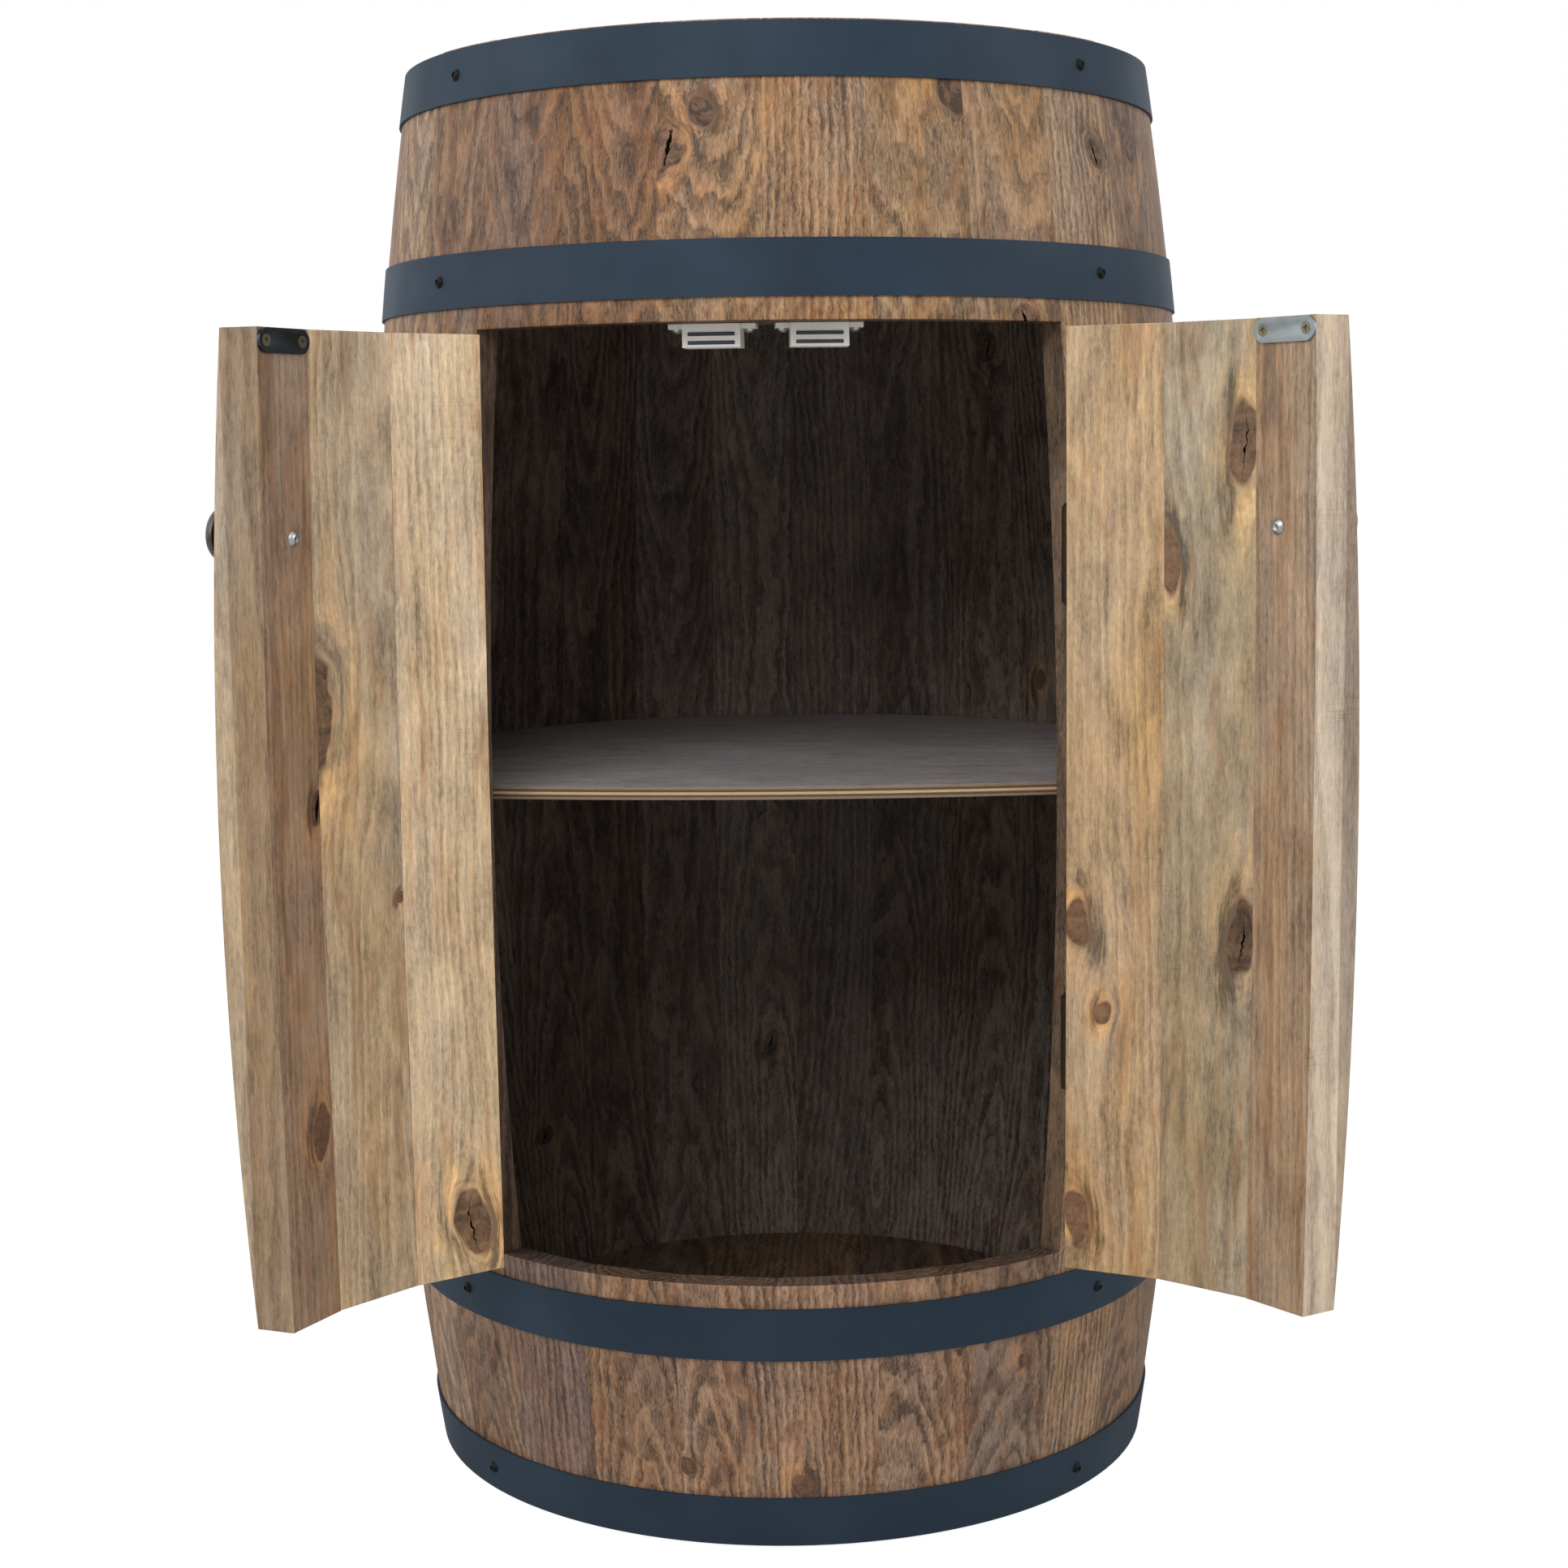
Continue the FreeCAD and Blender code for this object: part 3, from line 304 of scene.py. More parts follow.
for name in sorted(stave_frames):
    if name not in KNOTS:
        count = chance.choice((0, 1, 1, 2))
        KNOTS[name] = [(chance.uniform(-22, 22), chance.uniform(30, 770),
                        chance.uniform(3, 8), chance.uniform(5, 13), chance.choice((0, 0, 1)))
                       for _ in range(count)]
    TINTS.setdefault(name, chance.choice(OTHER_TINTS))
    SAWN.setdefault(name, chance.choice(("flat", "rift")))
# A door is stained lighter inside than outside, so its staves have a second brown. Inside,
# a door's brown is lighter and cooler at its top and darker and warmer at its foot: these are
# factors on the brown at a door's two ends.
DOOR_FOOT, DOOR_TOP = 0.155, 0.646
AT_TOP = (1.02, 1.05, 1.09, 1.0)
AT_FOOT = (0.96, 0.93, 0.87, 1.0)
OUTER_TINTS = {name: chance.choice(OTHER_TINTS) for name in sorted(stave_frames) if "door" in name}
print(sum(len(places) for places in KNOTS.values()), "knots on", len(KNOTS), "staves")


# %% Give a board its place in the tree
def write_attribute(mesh, label, kind, field, values):
    """Write one value per vertex. Values with several parts are laid end to end."""
    layer = mesh.attributes.new(label, kind, "POINT")
    layer.data.foreach_set(field, values)


def mark_grain(piece, board_frame, seed, tint="#826549", knots=(), sawn="flat",
               outer_tint=None):
    """Write the attributes that the pine reads. board_frame: X across, Y out, Z along.

    A board with an outer_tint is a door's: it is that brown on its outside.
    """
    luck = random.Random(seed)
    if sawn == "flat":
        heart = Vector((luck.uniform(-15, 15), -luck.uniform(40, 70), 0)) * MM
        lean = Vector((luck.uniform(-0.02, 0.02), luck.choice((-1, 1)) * luck.uniform(0.02, 0.05)))
    else:
        heart = Vector((luck.choice((-1, 1)) * luck.uniform(55, 95), luck.uniform(-30, 30), 0))
        heart *= MM
        lean = Vector((luck.uniform(-0.012, 0.012), luck.uniform(-0.02, 0.02)))
    height_from = luck.uniform(0, 50)
    away = (100.0, 5 * MM, 100.0, 0.0)
    grain, outward, tints = [], [], []
    knot_places = {mark: [] for mark in KNOT_MARKS}
    inverse = board_frame.inverted()
    for vertex in piece.data.vertices:
        place = inverse @ vertex.co
        rise = place.z - HEIGHT / 2
        grain += (place.x - heart.x + lean.x * rise,
                  place.y - BELLY - heart.y + lean.y * rise, place.z + height_from)
        outward.append(place.y)
        if not outer_tint:
            tints += colour(tint)
        elif place.y > outer_radius(place.z) - 2 * MM:
            tints += colour(outer_tint)
        else:
            depth = 1 - (place.z - DOOR_FOOT) / (DOOR_TOP - DOOR_FOOT)
            tints += [part * (top + (foot - top) * depth)
                      for part, top, foot in zip(colour(tint), AT_TOP, AT_FOOT)]
        for index, mark in enumerate(KNOT_MARKS):
            if index < len(knots):
                across, height, half, length = (value * MM for value in knots[index][:4])
                knot_places[mark] += ((place.x - across) / half, half,
                                      (place.z - height) / length, float(knots[index][4]))
            else:
                knot_places[mark] += away
    mesh = piece.data
    write_attribute(mesh, "grain", "FLOAT_VECTOR", "vector", grain)
    for mark, places in knot_places.items():
        write_attribute(mesh, mark, "FLOAT_COLOR", "color", places)
    write_attribute(mesh, "outward", "FLOAT", "value", outward)
    write_attribute(mesh, "tint", "FLOAT_COLOR", "color", tints)


# %% [markdown]
# The material itself goes from the large to the small: the flow round the knots, the rings,
# the patches where the stain soaked in, and last the fine fibres and pores. They are added
# up to one number, how bright the wood stayed under the stain, and a colour ramp turns it
# into a factor on the board's own brown. Stain turns pine's own figure round: the soft wood
# of spring drinks it and goes grey brown, and the hard lines of summer stay light.
#
# Each step is a function that adds its nodes to the material's tree and returns what the
# next step needs. The last one, pine, puts them together.

# %% Noise on a board's own coordinates
def board_noise(tree, place, scales, **inputs):
    """A noise across, deep and along a board, with scales in 1/m: 50 makes cells of 20 mm."""
    scaled = add(tree, "VectorMath", {0: place, 1: scales}, operation="MULTIPLY")
    return add(tree, "TexNoise", {"Vector": scaled, "Scale": 1.0, **inputs})


def shift_by(tree, noise, reach):
    """Turn a noise's colour into a shift of up to about half of reach."""
    centred = add(tree, "VectorMath", {0: noise.outputs["Color"], 1: (0.5, 0.5, 0.5)},
                  operation="SUBTRACT")
    return add(tree, "VectorMath", {0: centred, 1: reach}, operation="MULTIPLY")


def streaks(tree, place, width, length, **inputs):
    """A noise drawn out along the grain, with cells of this width and length."""
    return board_noise(tree, place, (1 / width, 1 / width, 1 / length), **inputs)


# %% The flow round one knot
def knot_flow(tree, label, wander, tremble):
    """How far a knot pushes the grain aside, the distance from it, its crack and dark side."""
    mark = add(tree, "Attribute", attribute_name=label)
    moved = add(tree, "VectorMath", {0: mark.outputs["Vector"], 1: wander}, operation="ADD")
    apart = add(tree, "SeparateXYZ", {0: moved})
    size = add(tree, "SeparateXYZ", {0: mark.outputs["Vector"]}).outputs["Y"]
    tilted = add(tree, "Math", {0: apart.outputs["Z"], 1: 0.3, 2: apart.outputs["X"]},
                 operation="MULTIPLY_ADD")
    flat = add(tree, "CombineXYZ", {0: tilted, 1: apart.outputs["Z"]})
    distance = add(tree, "VectorMath", {0: flat}, operation="LENGTH").outputs["Value"]
    square = add(tree, "Math", {0: distance, 1: 2.0}, operation="POWER")
    weaker = add(tree, "Math", {0: square, 1: 1.0}, operation="MAXIMUM")
    across = add(tree, "Math", {0: apart.outputs["X"], 1: size}, operation="MULTIPLY")
    push = add(tree, "Math", {0: across, 1: weaker}, operation="DIVIDE")
    # The crack runs raggedly along the knot and is widest in its middle.
    gape = add(tree, "MapRange", {"Value": distance, "From Max": 0.9, "To Min": 0.16,
                                  "To Max": 0.0})
    jagged = add(tree, "Math", {0: tilted, 1: tremble}, operation="ADD")
    aside = add(tree, "Math", {0: jagged}, operation="ABSOLUTE")
    width = add(tree, "Math", {0: gape, 1: mark.outputs["Alpha"]}, operation="MULTIPLY")
    crack = add(tree, "Math", {0: aside, 1: width}, operation="LESS_THAN")
    # On one side the fibres stand on end for a way, and drink more stain.
    beside = add(tree, "MapRange", {"Value": tilted, "From Min": 0.1, "From Max": 1.1})
    fading = add(tree, "MapRange", {"Value": distance, "From Min": 1.2, "From Max": 2.4,
                                    "To Min": 1.0, "To Max": 0.0})
    dark = add(tree, "Math", {0: beside, 1: fading}, operation="MULTIPLY")
    return push, distance, crack, dark


# %% The three knots of a board
def knots_of(tree, grain):
    """Each knot's flow. Its outline wanders by a third of its size, its crack by a tenth."""
    slow = board_noise(tree, grain, (70, 70, 45), Detail=1.0)
    quick = board_noise(tree, grain, (420, 420, 260), Detail=3.0)
    wander = shift_by(tree, slow, (0.9, 0, 1.2))
    tremble = add(tree, "MapRange", {"Value": quick, "From Min": 0.3, "From Max": 0.7,
                                     "To Min": -0.11, "To Max": 0.11})
    return [knot_flow(tree, mark, wander, tremble) for mark in KNOT_MARKS]


# %% The rings
RING_WIDTH = 4.4 * MM


def grey(level):
    """A grey for a colour ramp."""
    return (level, level, level, 1)


# How light the wood is through one year: dark in spring, with a light line at the end.
SEASONS = ((0.0, grey(0.5)), (0.1, grey(0.0)), (0.28, grey(0.15)), (0.55, grey(0.55)),
           (0.78, grey(1.0)), (0.92, grey(0.9)), (1.0, grey(0.5)))


def rings_of(tree, across, deep, waves):
    """Circles round the heart, from -1 to 1, in a flow that the waves bend."""
    flow = add(tree, "CombineXYZ", {0: across, 1: deep})
    for wave in waves:
        flow = add(tree, "VectorMath", {0: flow, 1: wave}, operation="ADD")
    radius = add(tree, "VectorMath", {0: flow}, operation="LENGTH").outputs["Value"]
    rings = add(tree, "Math", {0: radius, 1: RING_WIDTH}, operation="DIVIDE")
    year = add(tree, "Math", {0: rings}, operation="FRACT")
    season = add(tree, "ValToRGB", {0: year}, stops=SEASONS)
    tone = add(tree, "MapRange", {"Value": season, "To Min": -1.0, "To Max": 1.0})
    # Some years grew a bolder line than others.
    which = add(tree, "Math", {0: rings}, operation="FLOOR")
    luck = add(tree, "TexWhiteNoise", {"W": which}, noise_dimensions="1D").outputs["Value"]
    bold = add(tree, "MapRange", {"Value": luck, "To Min": 0.3, "To Max": 1.0})
    return add(tree, "Math", {0: tone, 1: bold}, operation="MULTIPLY")


print(f"{len(SEASONS)} tones in each ring of {RING_WIDTH / MM:.1f} mm")


# %% The patterns of the stain
# One fibre is too fine to show, so the finest streaks are bundles of them.
FIBRE_WIDTH = 0.7 * MM
PATCH_WIDTH = 24 * MM


def stain_patterns(tree, flow, wavy, smudge_length):
    """Stain takes unevenly over a few centimetres, and in streaks along the fibres."""
    return {
        "patch": streaks(tree, flow, PATCH_WIDTH, 2.4 * PATCH_WIDTH, Detail=6.0,
                         Roughness=0.6, Distortion=0.6),
        "smudge": streaks(tree, flow, 0.55 * PATCH_WIDTH, smudge_length * PATCH_WIDTH,
                          Detail=4.0, Distortion=0.8),
        "streak": streaks(tree, flow, 4 * FIBRE_WIDTH, 70 * FIBRE_WIDTH, Detail=3.0,
                          Roughness=0.6),
        "mottle": streaks(tree, wavy, 2.6 * FIBRE_WIDTH, 6 * FIBRE_WIDTH, Detail=4.0,
                          Roughness=0.7),
        "fibre": streaks(tree, wavy, FIBRE_WIDTH, 15 * FIBRE_WIDTH, Detail=3.0,
                         Roughness=0.7)}


print(f"patches of {PATCH_WIDTH / MM:.0f} mm, fibres of {FIBRE_WIDTH / MM:.1f} mm")


# %% One number from many patterns
def add_up(tree, total, layers):
    """Add patterns that vary about a half to a total, each with how strongly it shows."""
    for pattern, shows in layers:
        lifted = add(tree, "Math", {0: pattern, 1: 0.5}, operation="SUBTRACT")
        total = add(tree, "Math", {0: lifted, 1: shows, 2: total}, operation="MULTIPLY_ADD")
    return total


# %% Swirls round the knots
def with_swirls(tree, total, knots, patch, streak):
    """Round a knot the fibres stand on end and drink the stain, in swirls and ripples."""
    lifted = add(tree, "Math", {0: patch, 1: 0.5}, operation="SUBTRACT")
    ragged_dark = add(tree, "MapRange", {"Value": streak, "From Min": 0.35, "From Max": 0.65,
                                         "To Min": -0.9, "To Max": -0.3})
    for _, near, _, dark in knots:
        swirl = add(tree, "MapRange", {"Value": near, "From Min": 1.0, "From Max": 2.6,
                                       "To Min": 1.9, "To Max": 0.0})
        total = add(tree, "Math", {0: swirl, 1: lifted, 2: total}, operation="MULTIPLY_ADD")
        total = add(tree, "Math", {0: dark, 1: ragged_dark, 2: total},
                    operation="MULTIPLY_ADD")
        turns = add(tree, "Math", {0: near, 1: 16.0}, operation="MULTIPLY")
        ripples = add(tree, "Math", {0: turns}, operation="SINE")
        ripple_shows = add(tree, "MapRange", {"Value": near, "From Min": 1.0, "From Max": 2.3,
                                              "To Min": 0.07, "To Max": 0.0})
        total = add(tree, "Math", {0: ripples, 1: ripple_shows, 2: total},
                    operation="MULTIPLY_ADD")
    return total


# %% Saw marks
def with_saw_marks(tree, total, grain, shows):
    """Fine marks across the grain, 0.6 mm apart, that the saw left here and there."""
    scored = board_noise(tree, grain, (60, 60, 1600), Detail=2.0)
    where = add(tree, "MapRange", {"Value": board_noise(tree, grain, (18, 18, 14), Detail=2.0),
                                   "From Min": 0.54, "From Max": 0.68, "To Max": shows})
    deep = add(tree, "MapRange", {"Value": scored, "From Min": 0.5, "From Max": 0.36,
                                  "To Max": -1.0})
    return add(tree, "Math", {0: deep, 1: where, 2: total}, operation="MULTIPLY_ADD")


# %% Smudges
def with_smudges(tree, surface, smudge, brown_and_shade, stained, shows):
    """Blue grey where the stain soaked in, with an orange rim."""
    rim = add(tree, "MapRange", {"Value": smudge, "From Min": 0.55, "From Max": 0.6,
                                 "To Max": 0.45 * shows})
    rim_tint = add(tree, "VectorMath", {0: brown_and_shade, 1: (0.62, 0.42, 0.24)}, operation="MULTIPLY")
    surface = add(tree, "MixRGB", {0: rim, 1: surface, 2: rim_tint})
    soaked = add(tree, "MapRange", {"Value": smudge, "From Min": 0.585, "From Max": 0.68,
                                    "To Max": shows})
    soaked_tint = add(tree, "VectorMath", {0: stained, 1: (0.5, 0.53, 0.6)},
                      operation="MULTIPLY")
    return add(tree, "MixRGB", {0: soaked, 1: surface, 2: soaked_tint})


# %% The golden wood round the knots
def with_gold(tree, surface, near, curls, stained):
    """Resin has turned the wood round a knot golden, in curls that fade with distance."""
    golden_tint = add(tree, "VectorMath", {0: stained, 1: (1.38, 1.13, 0.8)},
                      operation="MULTIPLY")
    reach = add(tree, "MapRange", {"Value": near, "From Min": 1.2, "From Max": 3.6,
                                   "To Min": 0.75, "To Max": 0.0})
    golden = add(tree, "Math", {0: curls, 1: reach}, operation="MULTIPLY")
    return add(tree, "MixRGB", {0: golden, 1: surface, 2: golden_tint})


# %% The knots' own colour
BARK, CRACK = colour("#2B1C14"), colour("#0E0906")
KNOT_BROWN = colour("#735644")
KNOT_DEPTHS = ((0.15, grey(0.2)), (0.5, grey(0.6)), (0.85, grey(0.95)))


def knot_tint(tree, brown_and_shade, shade_factor):
    """The brown of a knot's middle: a quarter the board's own, the rest the same on all."""
    own_tint = add(tree, "VectorMath", {0: brown_and_shade, 1: (0.7, 0.55, 0.43)}, operation="MULTIPLY")
    # The knot's brown takes the same shade factor, so it is darkened where shade is painted.
    knot_brown = [part * dim for part, dim in zip(KNOT_BROWN, (*shade_factor, 1))]
    return add(tree, "MixRGB", {0: 0.75, 1: own_tint, 2: knot_brown})


def with_knot(tree, surface, near, crack, middle_tint, tone, broken):
    """A warm collar, a broken dark bark line, and a brown middle with faint rings."""
    collar = add(tree, "MapRange", {"Value": near, "From Min": 1.05, "From Max": 1.6,
                                    "To Min": 0.35, "To Max": 0.0})
    warmed = add(tree, "MixRGB", {0: collar, 1: surface, 2: middle_tint})
    turns = add(tree, "Math", {0: near, 1: 15.0}, operation="MULTIPLY")
    inner_rings = add(tree, "Math", {0: turns}, operation="SINE")
    knot_tone = add(tree, "Math", {0: inner_rings, 1: 0.04, 2: tone}, operation="MULTIPLY_ADD")
    depth = add(tree, "ValToRGB", {0: knot_tone}, stops=KNOT_DEPTHS)
    heart = add(tree, "VectorMath", {0: middle_tint, 1: depth}, operation="MULTIPLY")
    edge = add(tree, "MapRange", {"Value": near, "From Min": 0.8, "From Max": 0.98})
    bark = add(tree, "Math", {0: edge, 1: broken}, operation="MULTIPLY")
    rimmed = add(tree, "MixRGB", {0: bark, 1: heart, 2: BARK})
    inside = add(tree, "MapRange", {"Value": near, "From Min": 1.12, "From Max": 0.98})
    with_middle = add(tree, "MixRGB", {0: inside, 1: warmed, 2: rimmed})
    return add(tree, "MixRGB", {0: crack, 1: with_middle, 2: CRACK})


print("a knot's brown is", [round(part, 3) for part in KNOT_BROWN])


# %% The board's brown under the stain
# The ramp holds half of each factor, as a ramp's colours end at 1.
STAIN_FACTORS = (
    (0.02, (0.15, 0.15, 0.16, 1)), (0.26, (0.325, 0.315, 0.305, 1)), (0.5, (0.5, 0.5, 0.5, 1)),
    (0.74, (0.66, 0.655, 0.63, 1)), (0.98, (0.88, 0.86, 0.80, 1)))
DOOR_END = outer_radius(DOOR_FOOT)


def own_brown(tree, shade_factor, strips):
    """Twice the board's brown times its painted-shade factor, to go with the halves in the ramp.
    """
    if strips:
        outward = add(tree, "Attribute", attribute_name="outward").outputs["Fac"]
        outside = add(tree, "MapRange", {"Value": outward, "From Min": DOOR_END - 0.4 * MM,
                                         "From Max": DOOR_END + 0.4 * MM})
        tint = add(tree, "MixRGB", {0: outside, 1: colour(strips[0]), 2: colour(strips[1])})
    else:
        tint = add(tree, "Attribute", attribute_name="tint").outputs["Color"]
    doubled = tuple(2 * part for part in shade_factor)
    return add(tree, "VectorMath", {0: tint, 1: doubled}, operation="MULTIPLY")


print(f"a door's outer corners are {DOOR_END:.4f} from the axis at its ends")


# %% Pine with its stain
GLOSS, SHINE = 0.5, 0.25


def pine(name, shade_factor=(1, 1, 1), strips=None, rings_show=0.34, ripple=0.8, patches_show=1.4,
         streaks_show=0.8, mottle_shows=0.8, fibres_show=0.6, smudges_show=0.8,
         smudge_length=1.5, saw_marks_show=0.0):
    """Stained and lacquered pine.

    The shade factor, the second argument, multiplies the boards' tints; where it darkens and
    cools them it is painted shade. strips are the hex codes of a free edge: one for the wood
    inside the straight line between its two outer corners, one for outside it.
    """
    material, tree, shader = new_material(name)
    grain = add(tree, "Attribute", attribute_name="grain").outputs["Vector"]
    knots = knots_of(tree, grain)

    # The grain bends over 33 mm across and 140 mm along, and trembles over 7 to 9 mm.
    apart = add(tree, "SeparateXYZ", {0: grain})
    across, deep, along = (apart.outputs[axis] for axis in "XYZ")
    for push, _, _, _ in knots:
        across = add(tree, "Math", {0: across, 1: push}, operation="SUBTRACT")
    bends = board_noise(tree, grain, (30, 30, 7), Detail=3.0)
    ragged = board_noise(tree, grain, (150, 150, 110), Detail=2.0)
    wave = shift_by(tree, bends, (10 * MM, 22 * MM, 0))
    small_wave = shift_by(tree, ragged, (5 * ripple * MM, 5 * ripple * MM, 0))
    rings = rings_of(tree, across, deep, (wave, small_wave))

    # The patterns add up to how bright the wood stayed, from 0 to 1.
    flow = add(tree, "CombineXYZ", {0: across, 1: deep, 2: along})
    wavy = add(tree, "VectorMath", {0: flow, 1: small_wave}, operation="ADD")
    pattern = stain_patterns(tree, flow, wavy, smudge_length)
    crisp = add(tree, "MapRange", {"Value": pattern["fibre"], "From Min": 0.36,
                                   "From Max": 0.64})
    ringed = add(tree, "Math", {0: rings, 1: rings_show, 2: 0.5}, operation="MULTIPLY_ADD")
    total = add_up(tree, ringed, (
        (pattern["patch"], patches_show), (pattern["streak"], streaks_show),
        (pattern["mottle"], mottle_shows), (crisp, fibres_show)))
    swirled = with_swirls(tree, total, knots, pattern["patch"], pattern["streak"])
    sawn = with_saw_marks(tree, swirled, grain, saw_marks_show)

    # The total becomes a brown, a little richer in some places than in others.
    factor = add(tree, "ValToRGB", {0: sawn}, stops=STAIN_FACTORS)
    brown_and_shade = own_brown(tree, shade_factor, strips)
    stained = add(tree, "VectorMath", {0: brown_and_shade, 1: factor}, operation="MULTIPLY")
    warmth = board_noise(tree, grain, (24, 24, 6), Detail=2.0)
    richness = add(tree, "MapRange", {"Value": warmth, "From Min": 0.3, "From Max": 0.7,
                                      "To Min": 0.82, "To Max": 1.12})
    surface = add(tree, "HueSaturation", {"Saturation": richness, "Color": stained})
    surface = with_smudges(tree, surface, pattern["smudge"], brown_and_shade, stained, smudges_show)

    # The knots lie on top. A crack is black, and has no sheen.
    middle_tint = knot_tint(tree, brown_and_shade, shade_factor)
    curls = add(tree, "MapRange", {"Value": pattern["patch"], "From Min": 0.44,
                                   "From Max": 0.56})
    broken = add(tree, "MapRange", {"Value": pattern["mottle"], "From Min": 0.36,
                                    "From Max": 0.6, "To Min": 0.7, "To Max": 0.0})
    sheen = SHINE
    for _, near, crack, _ in knots:
        surface = with_gold(tree, surface, near, curls, stained)
        surface = with_knot(tree, surface, near, crack, middle_tint, total, broken)
        sheen = add(tree, "Math", {0: crack, 1: -SHINE, 2: sheen}, operation="MULTIPLY_ADD")

    # Lacquer lies smoother on the hard lines, and the open pores stay as fine grooves.
    rough = add(tree, "MapRange", {"Value": pattern["fibre"], "To Min": GLOSS + 0.12,
                                   "To Max": GLOSS - 0.1})
    relief = add(tree, "Math", {0: crisp, 1: 0.6, 2: rings}, operation="MULTIPLY_ADD")
    bump = add(tree, "Bump", {"Height": relief, "Strength": 0.3, "Distance": 0.2 * MM})
    tree.links.new(surface.outputs[0], shader.inputs["Base Color"])
    tree.links.new(rough.outputs[0], shader.inputs["Roughness"])
    tree.links.new(sheen.outputs[0], shader.inputs["Specular IOR Level"])
    tree.links.new(bump.outputs[0], shader.inputs["Normal"])
    return material


# %% The stains
outside_pine = pine("outside_pine")
door_inside_pine = pine("door_inside_pine", rings_show=0.14, ripple=0.4, patches_show=1.1,
                        streaks_show=0.5, mottle_shows=0.62, fibres_show=0.26,
                        smudges_show=0.65, smudge_length=4.5, saw_marks_show=0.08)
edge_pines = {
    "left": pine("left_edge_pine", strips=("#8B7358", "#9F8C75"), rings_show=0.15, ripple=0.4,
                 patches_show=0.6, streaks_show=0.5, mottle_shows=0.45, fibres_show=0.3,
                 smudges_show=0.2, saw_marks_show=0.12),
    "right": pine("right_edge_pine", strips=("#BFAB95", "#9D8A77"), rings_show=0.15, ripple=0.4,
                  patches_show=0.5, streaks_show=0.4, mottle_shows=0.4, fibres_show=0.22,
                  smudges_show=0.1, saw_marks_show=0.12)}
# Painted shade: the inside of the barrel is darkened and cooled, as it lies in the barrel's shade.
barrel_inside_painted_shade_pine = pine("barrel_inside_painted_shade_pine", shade_factor=(0.67, 0.86, 1.25))
# Painted shade, darker still: the staves' edges and ends, the bottom head, the cleats and the
# catch block.
jamb_painted_shade_pine = pine("jamb_painted_shade_pine", shade_factor=(0.5, 0.54, 0.62))
print(f"outside_pine has {len(outside_pine.node_tree.nodes)} nodes")

# %% [markdown]
# ## The staves and the doors
#
# Each stave is finished on its own, as a maker would sand it, and gets its materials by the
# way its faces look: the stain on the outside is darker than on the inside of the doors. On
# the barrel's own staves, the inside is darkened and cooled as painted shade, and the edges
# and ends are darkened still more. The joints between staves are sanded flush, so edges
# along a stave are eased by a hair only. The sawn ends are eased by 0.7 mm, and a door's ends
# by 2 mm on the outside, where hands and knees meet them.

# %% The staves
for name, board_frame in sorted(stave_frames.items()):
    piece = clean_copy(name)
    on_door = "door" in name
    inverse = board_frame.inverted()
    heights = [vertex.co.z for vertex in piece.data.vertices]
    low, high = min(heights), max(heights)

    def exposure(middle):
        """The outer edge of a door's ends is rounded most, other sawn ends less."""
        at_end = min(abs(middle.z - low), abs(middle.z - high)) < 2 * MM
        outside = (inverse @ middle).y > outer_radius(middle.z) - 3 * MM
        if at_end and outside and on_door:
            return 1.0
        return 0.35 if at_end else 0.06

    ease_edges(piece, 2.0 * MM, weight=exposure)
    mark_grain(piece, board_frame, name, TINTS[name], KNOTS[name], SAWN[name],
               OUTER_TINTS.get(name))
    face_materials = (outside_pine, barrel_inside_painted_shade_pine, jamb_painted_shade_pine)
    if on_door:
        face_materials = (outside_pine, door_inside_pine, edge_pines[name.split("_")[0]])
    for face_material in face_materials:
        piece.data.materials.append(face_material)
    for face in piece.data.polygons:
        way = inverse.to_3x3() @ face.normal
        if way.y > 0.5:
            face.material_index = 0
        elif way.y < -0.5:
            face.material_index = 1
        else:
            face.material_index = 2
print(f"{len(stave_frames)} staves finished")

# %% [markdown]
# ## The heads
#
# The two heads are edge-glued boards of the same pine, and lie across the barrel. The top
# one is sunk below the rim and serves as a small table top. A CAD node holds all five boards
# of a head, so each board is taken out of it by itself, to get its own eased edges and grain.

# %% The heads
HEAD_BOARDS = 5
BOARD_WIDTH = 2 * END / HEAD_BOARDS
HEAD_KNOTS = {2: [(9, 62, 6, 9, 1)], 4: [(-14, -88, 5, 8, 0), (12, 120, 3, 4, 0)]}


def board_of(face):
    """The number of a face's board. A face at a joint looks out of its own board."""
    within = face.calc_center_median() - MM * face.normal
    return 1 + math.floor((within.x + END) / BOARD_WIDTH)


# A head's board lies down: its grain runs along Y, and its face looks up.
lying = Matrix(((1, 0, 0, 0), (0, 0, 1, 0), (0, 1, 0, 0), (0, 0, 0, 1)))
for name in ("top_head_boards", "bottom_head_boards"):
    surface_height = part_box(name)[1].z
    for number in range(1, HEAD_BOARDS + 1):
        label = f"{name[:-1]}_{number}"
        piece = clean_copy(name, label=label, wanted=lambda face: board_of(face) == number)
        ease_edges(piece, 0.6 * MM)
        middle = (number - 0.5) * BOARD_WIDTH - END
        board_frame = Matrix.Translation((middle, 0, surface_height - BELLY)) @ lying
        mark_grain(piece, board_frame, label, chance.choice(OTHER_TINTS),
                   HEAD_KNOTS.get(number, ()), chance.choice(("flat", "flat", "rift")))
        # The bottom head, inside the barrel, takes the pine darkened as painted shade.
        piece.data.materials.append(outside_pine if name.startswith("top") else jamb_painted_shade_pine)
print(f"two heads of {HEAD_BOARDS} boards finished")

# %% [markdown]
# ## Powder-coated steel
#
# The hoops are mild steel strip, rolled to a ring and powder coated in a dark blue grey.
# The powder melts into a tough plastic skin with a faint orange-peel texture: it isn't a
# metal to the eye any more, so Metallic stays at 0 and the gloss is that of a satin plastic.

# %% Powder coat
PEEL_WIDTH = 1.6 * MM
SHADE_WIDTH = 55.556 * MM


